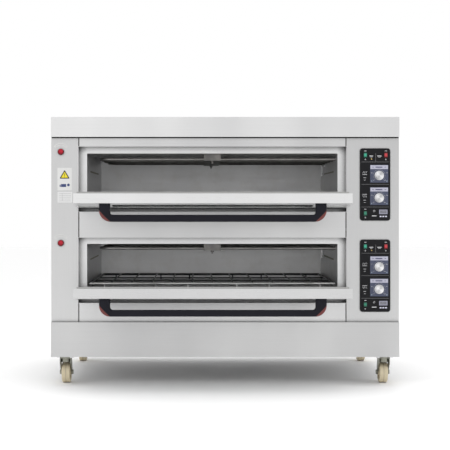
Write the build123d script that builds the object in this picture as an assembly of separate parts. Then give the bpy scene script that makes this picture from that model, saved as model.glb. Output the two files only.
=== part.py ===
from build123d import *
from math import cos, radians, sin
import os

# Deck oven with two baking decks, each behind a drop-down door, on four casters.
# Millimetres, +Z up, the front faces -Y. While a piece is drawn, Y is 0 at the front
# panels and grows towards the back; the finished pieces are moved so that the origin
# is on the floor under the middle of the oven with its doors open.

# ---- Cabinet ----
body_width = 1220.0
body_depth = 800.0
wheel_radius = 37.5
caster_head = 27.0
caster_height = 2 * wheel_radius + caster_head
base_height = 121.5
bottom_rail_height = 67.0
recess_height = 229.0
middle_rail_height = 91.0
top_rail_height = 33.0
canopy_height = 70.0
canopy_gap = 4.0
skirt_proud = 12.0
left_panel_width = 95.0
fascia_width = 184.0
panel_sheet = 1.5
base_sheet = 3.0
panel_joint = 3.5
fold = 18.0
vent_count = 8
vent_pitch = 16.0
vent_slot = 6.0
vent_from_base = 80.0
vent_from_top = 200.0
side_vent_length = 150.0
side_vent_from_front = 230.0
rear_vent_length = 200.0
rear_vent_spacing = 560.0

# ---- Baking chambers ----
stile_width = 27.0
sill_height = 54.0
lintel_height = 22.0
opening_corner = 4.0
chamber_sheet = 1.2
chamber_drop = 40.0
rear_space = 126.0
wool = 45.0
wool_right = 30.0
wool_rear = 70.0
steam_slot_height = 6.0
steam_slot_drop = 65.0
steam_slot_from_ends = 126.0

# ---- Doors ----
door_thickness = 33.3
door_side_gap = 2.0
door_end_gap = 3.0
door_hole_free = 0.5
door_open_angle = 85.0
pivot_depth = 8.0
pivot_height = 19.5
pivot_pin_radius = 5.0
stop_pin_radius = 3.0
stop_radius = 13.0
stop_start = 2.5
bearing_length = 22.5
bearing_height = 41.0
pin_engagement = 18.0
bracket_sheet = 5.0
bracket_inset = 2.0
window_width = 690.0
window_height = 104.0
window_bottom = 54.0
glass_lap = 8.0
glass_thickness = 4.0
gasket_width = 12.0
gasket_lap = 2.0
gasket_gap = 0.7
gasket_thickness = 6.0
frame_recess = door_thickness + gasket_thickness + gasket_gap

# ---- Door handles ----
handle_width = 767.0
handle_standoff = 60.0
handle_leg = 37.0
handle_bar = 23.0
handle_thickness = 28.0
handle_below_edge = 30.0
handle_outer_radius = 38.0
handle_inner_radius = 10.0
handle_rounding = 5.0
trim_thickness = 10.0

# ---- Heating ----
heater_radius = 5.0
heater_leg_spacing = 90.0
heater_pitch = 200.0
heater_count = 3
heater_end_gap = 40.0
heater_terminal = 45.0
heater_from_wall = 13.0
hanger_width = 60.0
hanger_sheet = 1.5
hanger_stud_radius = 3.0
hanger_stud_inset = 15.0
hanger_nut_radius = 5.8
hanger_nut_height = 5.0
comb_spacing = 400.0
comb_width = 20.0
support_end_gap = 20.0
probe_radius = 3.0
probe_below_ceiling = 31.0
probe_from_back = 177.0
probe_reach = 11.0
probe_drop = 38.0
probe_nut_radius = 7.0
probe_nut_height = 5.0

# ---- Racks and floor plates ----
floor_plate_drop = 8.0
floor_plate_sheet = 2.5
floor_plate_gap = 4.0
rack_rise = 14.5
rack_side_gap = 6.0
rack_end_gap = 12.0
rack_frame_radius = 4.0
rack_rod_radius = 2.5
rack_bays = 12
rack_foot_bays = (0.7, 3.2, 4.8, 7.2, 8.8, 11.3)

# ---- Controls ----
control_width = 106.0
control_height = 253.0
control_thickness = 5.0
control_corner = 9.0
control_offset = 8.0
control_rise = 95.5
control_lap = 4.0
rocker_width = 15.0
rocker_height = 21.0
rocker_wall = 1.0
rocker_radius = 8.2
rocker_tilt = 8.0
rocker_flange = 2.2
rocker_depth = 18.0
rocker_pit = 9.0
rocker_pin_radius = 1.2
rocker_pin_reach = 0.8
controller_width = 63.5
controller_height = 62.0
controller_plate = 1.2
controller_body = 56.0
controller_depth = 45.0
collar_radius = 10.0
collar_drop = 3.0
knob_radius = 16.25
knob_height = 16.0
knob_drop = 6.0
knob_skirt = 3.0
knob_lift = 0.4
spindle_radius = 3.0
spindle_length = 28.0
display_width = 29.2
display_height = 15.6
display_proud = 0.6
timer_width = 37.0
timer_depth = 16.0
key_width = 7.0
key_height = 4.5
key_pitch = 9.5
key_drop = 16.0
key_proud = 1.0
bezel_radius = 11.0
bezel_depth = 3.0
barrel_radius = 9.5
barrel_length = 28.0
stem_radius = 8.0
button_head_radius = 10.5
button_head_height = 5.0
button_travel = 3.0

# ---- Casters ----
wheel_width = 30.0
caster_plate = 62.0
caster_plate_sheet = 3.0
caster_bolt_radius = 4.0
caster_bolt_inset = 9.0
caster_inset_x = 45.0
caster_inset_y = 60.0
caster_trail = 27.0
axle_radius = 5.0
axle_head_radius = 8.0
axle_head_height = 4.0
axle_boss_radius = 9.0
kingpin_radius = 6.0
kingpin_drop = 11.5
kingpin_head_radius = 10.0
kingpin_head_height = 2.9
race_radius = 21.0
race_height = 4.0
fork_sheet = 2.5
fork_half_depth = 18.0
fork_crown_height = 4.0
fork_side_gap = 2.5
skirt_gap = 2.5
skirt_bore = 13.0
hub_radius = 12.0
hub_proud = 1.5
tread_rounding = 5.0
rim_width = 9.0
dish_depth = 5.0
seam_width = 1.5
seam_depth = 1.0

# ---- Frame, fittings and fits ----
tube = 25.0
tube_wall = 2.0
post_front = 47.0
ring_lift = 12.0
gland_bore = 9.0
gland_length = 28.0
gland_tail = 14.0
gland_wall = 3.5
gland_from_side = 90.0
gland_rise = 60.0
contactor_width = 45.0
contactor_height = 80.0
contactor_depth = 75.0
contactor_pitch = 57.0
contactor_count = 4
contactor_rise = 110.0
rail_height = 35.0
rail_depth = 8.0
rail_from_front = 280.0
screw_from_edge = 16.0
screw_from_end = 40.0
screw_length = 8.0
screw_radius = 2.0
running = 0.05
free = 0.3
screw_free = 0.1

# ---- Places worked out from the sizes above ----
half_width = body_width / 2
base_top = caster_height + base_height
lower_deck = base_top + bottom_rail_height
upper_deck = lower_deck + recess_height + middle_rail_height
canopy_bottom = upper_deck + recess_height + top_rail_height
body_top = canopy_bottom + canopy_height
front_top = canopy_bottom - canopy_gap
decks = {"upper": upper_deck, "lower": lower_deck}
recess_left = -half_width + left_panel_width
recess_right = half_width - fascia_width
opening_left = recess_left + stile_width
opening_right = recess_right - stile_width
centre_x = (recess_left + recess_right) / 2
chamber_front = frame_recess + panel_sheet
chamber_back = body_depth - rear_space
chamber_floor = sill_height - chamber_drop
chamber_ceiling = recess_height - lintel_height - 1
floor_plate_top = sill_height - floor_plate_drop
door_left = recess_left + door_side_gap
door_right = recess_right - door_side_gap
door_top = recess_height - door_end_gap
window_low = door_end_gap + window_bottom
window_high = window_low + window_height
control_x = (recess_right + half_width) / 2 + control_offset
caster_x = half_width - caster_inset_x
caster_ys = (caster_inset_y, body_depth - caster_inset_y)
open_turn = radians(door_open_angle)
door_reach = (door_top - pivot_height) * sin(open_turn) + pivot_depth * cos(open_turn) - pivot_depth
origin_shift = -(body_depth + gland_length - door_reach) / 2


def block(x, y, z):
    """A box from its low and high X, Y and Z."""
    return Pos(sum(x) / 2, sum(y) / 2, sum(z) / 2) * Box(x[1] - x[0], y[1] - y[0], z[1] - z[0])


def bar(start, end, radius):
    """A round bar from one point to another."""
    run = Vector(*end) - Vector(*start)
    base = (Align.CENTER, Align.CENTER, Align.MIN)
    return Plane(origin=Vector(*start), z_dir=run) * Cylinder(radius, run.length, align=base)


def hollow(x, y, z, wall, run):
    """A square tube that is open at both ends of its run along X, Y or Z."""
    inner = {axis: (low + wall, high - wall) for axis, (low, high) in zip("XYZ", (x, y, z))}
    inner[run] = {"X": x, "Y": y, "Z": z}[run]
    return block(x, y, z) - block(inner["X"], inner["Y"], inner["Z"])


def mirror_x(shape):
    """The same shape on the other side of the cabinet."""
    return mirror(shape, about=Plane.YZ)


def separate(shapes):
    """One node that holds several separate solids."""
    return Compound([solid for shape in shapes for solid in shape.solids()])


# ---- Cabinet panels ----
def base_panels():
    """Four skirts with a ledge folded in at the top, and the floor that carries the casters."""
    z = (caster_height, base_top)
    ledge = (base_top - panel_sheet, base_top)
    inner = half_width - panel_sheet
    front_face = -skirt_proud + panel_sheet
    rear_face = body_depth - panel_sheet
    front = block((-half_width, half_width), (-skirt_proud, front_face), z)
    front += block((-inner, inner), (front_face, fold), ledge)
    rear = block((-inner, inner), (rear_face, body_depth), z)
    between = inner - tube - 1
    rear += block((-between, between), (body_depth - fold, rear_face), ledge)
    side = block((inner, half_width), (front_face, body_depth), z)
    between_posts = (post_front + tube + 1, rear_face - tube - 1)
    side += block((inner - fold, inner), between_posts, ledge)
    floor = block((-inner, inner), (front_face, rear_face), (caster_height, caster_height + base_sheet))
    for x, y in caster_bolt_places():
        low, high = caster_height - 1, caster_height + base_sheet + 1
        floor -= bar((x, y, low), (x, y, high), caster_bolt_radius + screw_free)
    return separate([front, rear, side, mirror_x(side), floor])


def canopy():
    """Folded top cover: a lid with four sides and a narrow lip under its front edge."""
    x = (-half_width, half_width)
    y = (-skirt_proud, body_depth)
    cover = block(x, y, (canopy_bottom, body_top))
    inside_x = (x[0] + panel_sheet, x[1] - panel_sheet)
    inside_y = (y[0] + panel_sheet, y[1] - panel_sheet)
    cover -= block(inside_x, inside_y, (canopy_bottom - 1, body_top - panel_sheet))
    cover += block(inside_x, (inside_y[0], 0), (canopy_bottom, canopy_bottom + panel_sheet))
    return cover


def vent_slots(x, y):
    """Cutters for two stacks of level vent slots, low and high on a panel; x and y are their spans."""
    slots = []
    for start in (base_top + vent_from_base, canopy_bottom - vent_from_top):
        for i in range(vent_count):
            low = start + i * vent_pitch
            slots.append(block(x, y, (low, low + vent_slot)))
    return slots


def screw_places():
    """Point and outward direction of every panel screw."""
    places = []
    side_ys = (post_front + tube / 2, body_depth - panel_sheet - tube / 2)
    middle = (base_top + canopy_bottom) / 2
    for z in (base_top + screw_from_end, middle, canopy_bottom - screw_from_end):
        for y in side_ys:
            places += [((-half_width, y, z), (-1, 0, 0)), ((half_width, y, z), (1, 0, 0))]
        for x in (-half_width + screw_from_edge, half_width - screw_from_edge):
            places.append(((x, body_depth, z), (0, 1, 0)))
    return places


def screw(place, outward, slack=0.0):
    """Countersunk panel screw, flush with the sheet; slack widens it into its own hole."""
    inward = Plane(origin=place, z_dir=Vector(*outward) * -1)
    base = (Align.CENTER, Align.CENTER, Align.MIN)
    head = Cone(2 * screw_radius + slack, screw_radius + slack, panel_sheet, align=base)
    shank = Pos(0, 0, panel_sheet) * Cylinder(screw_radius + slack, screw_length + 4 * slack, align=base)
    return inward * (head + shank)


def screw_holes(shape, sides):
    """Cut the screw holes that lie on the named sides."""
    for place, outward in screw_places():
        if outward in sides:
            shape -= screw(place, outward, screw_free)
    return shape


def side_panels():
    """Left and right side sheets; the right one is slotted to cool the controls."""
    y = (panel_sheet, body_depth - panel_sheet)
    right = block((half_width - panel_sheet, half_width), y, (base_top, canopy_bottom))
    right = screw_holes(right, [(1, 0, 0)])
    left = mirror_x(right)
    slot_y = (side_vent_from_front - side_vent_length / 2, side_vent_from_front + side_vent_length / 2)
    for slot in vent_slots((half_width - 5, half_width + 5), slot_y):
        right -= slot
    return separate([left, right])


def rear_panel():
    """Back sheet with vent slots and the hole for the cable gland."""
    y = (body_depth - panel_sheet, body_depth)
    panel = block((-half_width, half_width), y, (base_top, canopy_bottom))
    panel = screw_holes(panel, [(0, 1, 0)])
    for x in (-rear_vent_spacing / 2, rear_vent_spacing / 2):
        slot_x = (x - rear_vent_length / 2, x + rear_vent_length / 2)
        for slot in vent_slots(slot_x, (body_depth - 5, body_depth + 5)):
            panel -= slot
    x, y, z = gland_place()
    return panel - bar((x, y - 10, z), (x, y + 10, z), gland_bore + gland_wall + screw_free)


def left_front_panel():
    """Plain sheet left of the doors, with a hole for each push-button."""
    x = (-half_width, recess_left)
    panel = block(x, (0, panel_sheet), (base_top, front_top))
    for deck in decks.values():
        cx, cz = button_place(deck)
        panel -= bar((cx, -5, cz), (cx, 5, cz), barrel_radius + screw_free)
    return panel


def control_fascia():
    """Right front sheet, cut out behind each control panel."""
    panel = block((recess_right, half_width), (0, panel_sheet), (base_top, front_top))
    reach = control_width / 2 - control_lap
    rise = control_height / 2 - control_lap
    for deck in decks.values():
        cz = deck + control_rise
        panel -= block((control_x - reach, control_x + reach), (-5, 5), (cz - rise, cz + rise))
    return panel


def front_rails():
    """Top, middle and bottom cross sheets with their ends folded back."""
    x = (recess_left + panel_joint, recess_right - panel_joint)
    spans = [
        (upper_deck + recess_height, front_top),
        (lower_deck + recess_height, upper_deck),
        (base_top, lower_deck),
    ]
    rails = []
    for low, high in spans:
        rail = block(x, (0, panel_sheet), (low, high))
        inset = 2 * panel_sheet
        for end in (x[0], x[1] - panel_sheet):
            rail += block((end, end + panel_sheet), (panel_sheet, fold), (low + inset, high - inset))
        rails.append(rail)
    return separate(rails)


def chassis_frame():
    """Welded square-tube frame inside the panels."""
    outer = half_width - panel_sheet
    front = (post_front, post_front + tube)
    rear = (body_depth - panel_sheet - tube, body_depth - panel_sheet)
    post_x = (outer - tube, outer)
    foot = caster_height + base_sheet
    top = body_top - 30
    bearer_tops = [deck + chamber_floor - chamber_sheet - wool - 1 for deck in decks.values()]
    frame = Part()
    for y in (front, rear):
        post = hollow(post_x, y, (foot, top), tube_wall, "Z")
        frame += [post, mirror_x(post)]
    for level in [foot + ring_lift + tube, *bearer_tops, top]:
        z = (level - tube, level)
        for y in (front, rear):
            frame += hollow((tube - outer, outer - tube), y, z, tube_wall, "X")
        side = hollow(post_x, (front[1], rear[0]), z, tube_wall, "Y")
        frame += [side, mirror_x(side)]
    for level in bearer_tops:
        for x in (opening_left + 90, opening_right - 90):
            frame += hollow((x, x + tube), (front[1], rear[0]), (level - tube, level), tube_wall, "Y")
    for place, outward in screw_places():
        frame -= screw(place, outward, screw_free)
    return frame


# ---- Baking chambers ----
def door_frame(deck):
    """Recessed frame around a chamber mouth, with flanges that line the door recess."""
    wide = (recess_left - panel_sheet, recess_right + panel_sheet)
    tall = (deck - panel_sheet, deck + recess_height + panel_sheet)
    plate = block(wide, (frame_recess, chamber_front), tall)
    plate -= block((recess_left, recess_right), (frame_recess - 1, frame_recess), tall)
    mouth_z = (deck + sill_height, deck + recess_height - lintel_height)
    mouth = block((opening_left, opening_right), (frame_recess - 5, chamber_front + 5), mouth_z)
    plate -= fillet(mouth.edges().filter_by(Axis.Y), opening_corner)
    flange_y = (panel_sheet, frame_recess)
    for x in ((wide[0], recess_left), (recess_right, wide[1])):
        plate += block(x, flange_y, tall)
    for z in ((tall[0], deck), (deck + recess_height, tall[1])):
        plate += block((recess_left, recess_right), flange_y, z)
    for y, z, radius in hinge_pin_places(deck):
        for side in (recess_left, recess_right):
            plate -= bar((side - 3, y, z), (side + 3, y, z), radius + 0.2)
    return plate


def heater_places(deck):
    """Y and Z of the middle of each hairpin element, above and below the baking space."""
    first = (chamber_front + chamber_back) / 2 - heater_pitch * (heater_count - 1) / 2
    levels = (deck + chamber_ceiling - heater_from_wall - heater_radius,
              deck + chamber_floor + heater_from_wall)
    return [(first + i * heater_pitch, z) for z in levels for i in range(heater_count)]


def probe_place(deck):
    """Y and Z where the temperature probe comes through the right-hand wall."""
    return chamber_back - probe_from_back, deck + chamber_ceiling - probe_below_ceiling


def wall_holes(shape, deck, x):
    """Cut the holes for the element legs and the probe through a wall on the right."""
    for y, z in heater_places(deck):
        for leg in (y - heater_leg_spacing / 2, y + heater_leg_spacing / 2):
            shape -= bar((x[0], leg, z), (x[1], leg, z), heater_radius + free)
    y, z = probe_place(deck)
    return shape - bar((x[0], y, z), (x[1], y, z), probe_radius + free)


def chamber(deck):
    """Sheet-steel baking chamber, open at the front, with a steam slot in each side wall."""
    x = (opening_left, opening_right)
    y = (chamber_front, chamber_back)
    z = (deck + chamber_floor, deck + chamber_ceiling)
    outer = block((x[0] - chamber_sheet, x[1] + chamber_sheet), (y[0], y[1] + chamber_sheet),
                  (z[0] - chamber_sheet, z[1] + chamber_sheet))
    box = outer - block(x, (y[0] - 1, y[1]), z)
    slot_z = deck + recess_height - lintel_height - steam_slot_drop
    slot_y = (y[0] + steam_slot_from_ends, y[1] - steam_slot_from_ends)
    box -= block((x[0] - 5, x[1] + 5), slot_y, (slot_z, slot_z + steam_slot_height))
    return wall_holes(box, deck, (x[1] - 2, x[1] + 5))


def insulation(deck):
    """Mineral wool packed round a chamber on every side but the front."""
    sheet = chamber_sheet
    x = (opening_left - sheet, opening_right + sheet)
    y = (chamber_front, chamber_back + sheet)
    z = (deck + chamber_floor - sheet, deck + chamber_ceiling + sheet)
    wrap = block((x[0] - wool, x[1] + wool_right), (y[0], y[1] + wool_rear), (z[0] - wool, z[1] + wool))
    wrap -= block(x, (y[0] - 1, y[1]), z)
    return wall_holes(wrap, deck, (x[1] - 2, x[1] + wool_right + 5))


def hairpin(y, z):
    """Tubular element: two long legs joined by a half-turn, its ends out through the wall."""
    half = heater_leg_spacing / 2
    left = opening_left + heater_end_gap + half
    right = opening_right + heater_terminal
    path = Polyline((right, y - half, z), (left, y - half, z))
    path += ThreePointArc((left, y - half, z), (left - half, y, z), (left, y + half, z))
    path += Polyline((left, y + half, z), (right, y + half, z))
    start = Plane(origin=(right, y - half, z), z_dir=(-1, 0, 0))
    return sweep(start * Circle(heater_radius), path=path)


def heating_elements():
    """Top and bottom hairpin elements of both decks."""
    return separate([hairpin(y, z) for deck in decks.values() for y, z in heater_places(deck)])


def heater_supports():
    """A hanger under each deck's top elements, and two combs under its bottom ones."""
    pieces = []
    y = (chamber_front + support_end_gap, chamber_back - support_end_gap)
    for deck in decks.values():
        ceiling = deck + chamber_ceiling
        seat = ceiling - heater_from_wall - 2 * heater_radius
        x = (centre_x - hanger_width / 2, centre_x + hanger_width / 2)
        hanger = block(x, y, (seat - hanger_sheet, seat))
        for end in (y[0], y[1] - hanger_sheet):
            hanger += block(x, (end, end + hanger_sheet), (seat, ceiling))
        for end in (y[0] + hanger_stud_inset, y[1] - hanger_stud_inset):
            nut_bottom = seat - hanger_sheet - hanger_nut_height
            stud_end = (centre_x, end, nut_bottom - 2 * hanger_stud_radius)
            hanger += bar(stud_end, (centre_x, end, ceiling), hanger_stud_radius)
            nut = Plane.XY.offset(nut_bottom) * RegularPolygon(hanger_nut_radius, 6)
            hanger += Pos(centre_x, end, 0) * extrude(nut, hanger_nut_height)
        pieces.append(hanger)
        comb_top = deck + chamber_floor + heater_from_wall - heater_radius
        for x in (centre_x - comb_spacing / 2, centre_x + comb_spacing / 2):
            comb_x = (x - comb_width / 2, x + comb_width / 2)
            pieces.append(block(comb_x, y, (deck + chamber_floor, comb_top)))
    return separate(pieces)


def floor_plate(deck):
    """Steel sole plate over the bottom elements, standing on its folded sides."""
    x = (opening_left + floor_plate_gap, opening_right - floor_plate_gap)
    y = (chamber_front + floor_plate_gap, chamber_back - floor_plate_gap)
    top = deck + floor_plate_top
    plate = block(x, y, (top - floor_plate_sheet, top))
    for end in (x[0], x[1] - floor_plate_sheet):
        side = (end, end + floor_plate_sheet)
        plate += block(side, y, (deck + chamber_floor, top - floor_plate_sheet))
    return wall_holes(plate, deck, (x[1] - 5, x[1] + 5))


def rack_outline():
    """Low and high X and Y of the middle of a rack's frame rod."""
    margin = rack_frame_radius
    x = (opening_left + rack_side_gap + margin, opening_right - rack_side_gap - margin)
    y = (chamber_front + rack_end_gap + margin, chamber_back - rack_end_gap - margin)
    return x, y


def baking_rack(deck):
    """Welded wire rack on short feet: a rod frame, cross rods front to back, two stays."""
    x, y = rack_outline()
    top = deck + sill_height + rack_rise
    z = top - rack_frame_radius
    corners = [(x[0], y[0], z), (x[1], y[0], z), (x[1], y[1], z), (x[0], y[1], z)]
    rack = Part()
    for i, corner in enumerate(corners):
        rack += bar(corner, corners[(i + 1) % 4], rack_frame_radius)
        rack += Pos(*corner) * Sphere(rack_frame_radius)
    pitch = (x[1] - x[0]) / rack_bays
    rod_z = top - rack_rod_radius
    for i in range(1, rack_bays):
        rack += bar((x[0] + i * pitch, y[0], rod_z), (x[0] + i * pitch, y[1], rod_z), rack_rod_radius)
    for stay_y in (y[0] + (y[1] - y[0]) / 3, y[0] + (y[1] - y[0]) * 2 / 3):
        stay_z = rod_z - 1.6 * rack_rod_radius
        rack += bar((x[0], stay_y, stay_z), (x[1], stay_y, stay_z), rack_rod_radius)
    foot = deck + floor_plate_top
    for i in rack_foot_bays:
        for foot_y in y:
            place = x[0] + i * pitch
            rack += bar((place, foot_y, foot), (place, foot_y, z), rack_rod_radius)
    return rack


def temperature_probe(deck):
    """Sensing rod that comes through the right-hand wall and turns down, with its gland nut."""
    y, z = probe_place(deck)
    wall = opening_right
    turn = wall - probe_reach
    probe = bar((turn, y, z), (wall + heater_terminal, y, z), probe_radius)
    probe += Pos(turn, y, z) * Sphere(probe_radius)
    probe += bar((turn, y, z), (turn, y, z - probe_drop), probe_radius)
    nut = Plane(origin=(wall - probe_nut_height, y, z), z_dir=(1, 0, 0)) * RegularPolygon(probe_nut_radius, 6)
    return probe + extrude(nut, probe_nut_height)


# ---- Doors ----
def hinge_pin_places(deck):
    """Y, Z and radius of the pivot pin and of the stop pin above it."""
    angle = radians(stop_start + door_open_angle)
    stop_y = pivot_depth + stop_radius * cos(angle)
    stop_z = deck + pivot_height + stop_radius * sin(angle)
    return [(pivot_depth, deck + pivot_height, pivot_pin_radius), (stop_y, stop_z, stop_pin_radius)]


def hinge_bracket(deck, side, inward):
    """Plate behind the recess wall that carries the pivot pin and the stop pin."""
    back = side - inward * panel_sheet
    plate_x = sorted((back, back - inward * bracket_sheet))
    plate_y = (bracket_inset, frame_recess - bracket_inset)
    bracket = block(plate_x, plate_y, (deck + bracket_inset, deck + door_end_gap + bearing_height))
    tip = side + inward * (door_side_gap + pin_engagement)
    for y, z, radius in hinge_pin_places(deck):
        bracket += bar((back, y, z), (tip, y, z), radius)
    return bracket


def hinge_brackets():
    """The four fixed hinge brackets."""
    sides = ((recess_left, 1), (recess_right, -1))
    return separate([hinge_bracket(deck, side, way) for deck in decks.values() for side, way in sides])


def stop_slot(deck, x, half_width_of_slot):
    """Cutter for the arc slot that runs over the stop pin, through the given X span."""
    centre_line = CenterArc((pivot_depth, deck + pivot_height), stop_radius, stop_start, door_open_angle)
    slot = Plane.YZ.offset(x[0]) * SlotArc(centre_line, 2 * half_width_of_slot)
    return extrude(slot, x[1] - x[0], dir=(1, 0, 0))


def window_block(y, deck, lap=0.0):
    """A block as large as the door window plus a lap all round."""
    x = (centre_x - window_width / 2 - lap, centre_x + window_width / 2 + lap)
    return block(x, y, (deck + window_low - lap, deck + window_high + lap))


def door_shell(deck):
    """Outer door skin, folded back on all four edges, with the window cut out."""
    sheet = panel_sheet
    back = door_thickness - sheet
    z = (deck + door_end_gap, deck + door_top)
    shell = block((door_left, door_right), (0, back), z)
    shell -= block((door_left + sheet, door_right - sheet), (sheet, back + 1), (z[0] + sheet, z[1] - sheet))
    shell -= window_block((-1, sheet + 1), deck)
    for end in (door_left, door_right):
        x = (end - 2, end + 2)
        middle = deck + pivot_height
        hole = pivot_pin_radius + door_hole_free
        shell -= bar((x[0], pivot_depth, middle), (x[1], pivot_depth, middle), hole)
        shell -= stop_slot(deck, x, stop_pin_radius + door_hole_free)
    return shell


def door_liner(deck):
    """Inner door skin with a channel round the window that holds both panes."""
    y = (door_thickness - panel_sheet, door_thickness)
    liner = block((door_left, door_right), y, (deck + door_end_gap, deck + door_top))
    lap = glass_lap + free
    ring_y = (panel_sheet, y[0])
    liner += window_block(ring_y, deck, lap + chamber_sheet) - window_block(ring_y, deck, lap)
    return liner - window_block((y[0] - 1, y[1] + 1), deck)


def door_gasket(deck):
    """Square-section seal on a door's liner; the closed door holds it round the chamber mouth."""
    y = (door_thickness, frame_recess - gasket_gap)
    low = deck + sill_height
    high = deck + recess_height - lintel_height
    reach = gasket_lap + gasket_width
    ring = block((opening_left - reach, opening_right + reach), y, (low - reach, high + reach))
    inner_x = (opening_left - gasket_lap, opening_right + gasket_lap)
    return ring - block(inner_x, (y[0] - 1, y[1] + 1), (low - gasket_lap, high + gasket_lap))


def door_glass(deck):
    """Outer and inner pane of the window."""
    outer = window_block((panel_sheet, panel_sheet + glass_thickness), deck, glass_lap)
    seat = door_thickness - panel_sheet
    inner = window_block((seat - glass_thickness, seat), deck, glass_lap)
    return separate([outer, inner])


def door_bearings(deck):
    """Bearing block in each end of the door: pivot bore and stop slot."""
    y = (panel_sheet, door_thickness - panel_sheet)
    low = deck + door_end_gap + panel_sheet
    blocks = []
    for end, inward in ((door_left, 1), (door_right, -1)):
        near = end + inward * panel_sheet
        x = sorted((near, near + inward * bearing_length))
        piece = block(x, y, (low, low + bearing_height - panel_sheet))
        middle = deck + pivot_height
        bore = pivot_pin_radius + running
        piece -= bar((x[0] - 1, pivot_depth, middle), (x[1] + 1, pivot_depth, middle), bore)
        piece -= stop_slot(deck, x, stop_pin_radius + free)
        blocks.append(piece)
    return separate(blocks)


def handle_outline():
    """Plan of the handle: two legs on the door and a bar between them, Y towards the door."""
    half = handle_width / 2
    inner = half - handle_leg
    gap = handle_standoff - handle_bar
    outside = Pos(0, -handle_standoff / 2) * Rectangle(handle_width, handle_standoff)
    corners = outside.vertices().group_by(Axis.Y)[0]
    outside = fillet(corners, handle_outer_radius)
    inside = Pos(0, -gap / 2) * Rectangle(2 * inner, gap)
    inside = fillet(inside.vertices().group_by(Axis.Y)[0], handle_inner_radius)
    return outside - inside


def handle_blank(deck):
    """Handle with rounded edges, before its end trims are cut away."""
    middle = deck + door_top - handle_below_edge
    base = Plane(origin=(centre_x, 0, middle - handle_thickness / 2))
    blank = extrude(base * handle_outline(), handle_thickness)
    faces = blank.faces().filter_by(Axis.Z)
    rims = [edge for face in faces for edge in face.edges() if edge.center().Y < -0.01]
    return fillet(rims, handle_rounding)


def trim_cutter(deck):
    """Crescents over both outer bends of a handle."""
    half = handle_width / 2
    bend = handle_outer_radius
    low = -handle_standoff
    middle = (bend - trim_thickness) * cos(radians(45))
    past = 20.0
    arc = ThreePointArc((half, low + bend), (half - bend + middle, low + bend - middle), (half - bend, low))
    line = Polyline((half - bend, low), (half - bend, low - past), (half + past, low - past),
                    (half + past, low + bend), (half, low + bend))
    crescent = make_face(Curve() + [arc, line])
    both = crescent + mirror(crescent, about=Plane.YZ)
    base = Plane(origin=(centre_x, 0, deck + door_top - handle_below_edge - handle_thickness))
    return extrude(base * both, 2 * handle_thickness)


def opened(shape, deck):
    """Turn a closed door piece to the open position."""
    hinge = Axis((0, pivot_depth, deck + pivot_height), (1, 0, 0))
    return shape.rotate(hinge, door_open_angle)


# ---- Controls ----
def control_point(deck, right, down):
    """X and Z of a point measured from a control panel's top left corner."""
    return control_x - control_width / 2 + right, deck + control_rise + control_height / 2 - down


def rocker_points(deck):
    """Rocker switches of one control panel, by what they switch."""
    return {
        "power": control_point(deck, 18.5, 23.5),
        "stop": control_point(deck, 90.5, 23.5),
        "timer": control_point(deck, 18.5, 227.5),
    }


def controller_points(deck):
    """Temperature controllers of one control panel, for top and bottom heat."""
    return {"top": control_point(deck, 67.0, 89.0), "bottom": control_point(deck, 67.0, 167.5)}


def timer_point(deck):
    """Middle of the timer's display."""
    return control_point(deck, 81.5, 222.5)


def key_points(deck):
    """Middles of the three keys under the display."""
    x, z = timer_point(deck)
    return [(x + step, z - key_drop) for step in (-key_pitch, 0, key_pitch)]


def control_panel(deck):
    """Black moulded panel with openings for its switches, controllers and timer."""
    z = deck + control_rise
    plate = Plane(origin=(control_x, 0, z), x_dir=(1, 0, 0), z_dir=(0, -1, 0)) * RectangleRounded(
        control_width, control_height, control_corner)
    panel = extrude(plate, control_thickness)
    panel = chamfer(panel.faces().sort_by(Axis.Y)[0].edges(), 1.0)
    depth = (-control_thickness - 1, 1)
    for x, z in rocker_points(deck).values():
        wide = rocker_width / 2 - 1 + screw_free
        tall = rocker_height / 2 - 1 + screw_free
        panel -= block((x - wide, x + wide), depth, (z - tall, z + tall))
    for x, z in controller_points(deck).values():
        collar_z = z - collar_drop
        panel -= bar((x, depth[0], collar_z), (x, depth[1], collar_z), collar_radius + screw_free)
    x, z = timer_point(deck)
    wide = display_width / 2 + 2 * screw_free
    tall = display_height / 2 + 2 * screw_free
    panel -= block((x - wide, x + wide), depth, (z - tall, z + tall))
    for x, z in key_points(deck):
        wide = key_width / 2 + screw_free
        tall = key_height / 2 + screw_free
        panel -= block((x - wide, x + wide), depth, (z - tall, z + tall))
    return panel


def temperature_controller(x, z):
    """Regulator: face plate on the panel, body behind it, and the bush its spindle runs in."""
    front = -control_thickness
    half = controller_width / 2
    tall = controller_height / 2
    case = controller_body / 2
    unit = block((x - half, x + half), (front - controller_plate, front), (z - tall, z + tall))
    unit += bar((x, front, z - collar_drop), (x, 0, z - collar_drop), collar_radius)
    unit += block((x - case, x + case), (0, controller_depth), (z - case, z + case))
    knob_z = knob_centre(z)
    bore_end = spindle_length - controller_plate
    return unit - bar((x, front - 5, knob_z), (x, bore_end, knob_z), spindle_radius + running)


def knob_centre(z):
    """A knob sits a little below the middle of its controller."""
    return z - knob_drop


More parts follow.
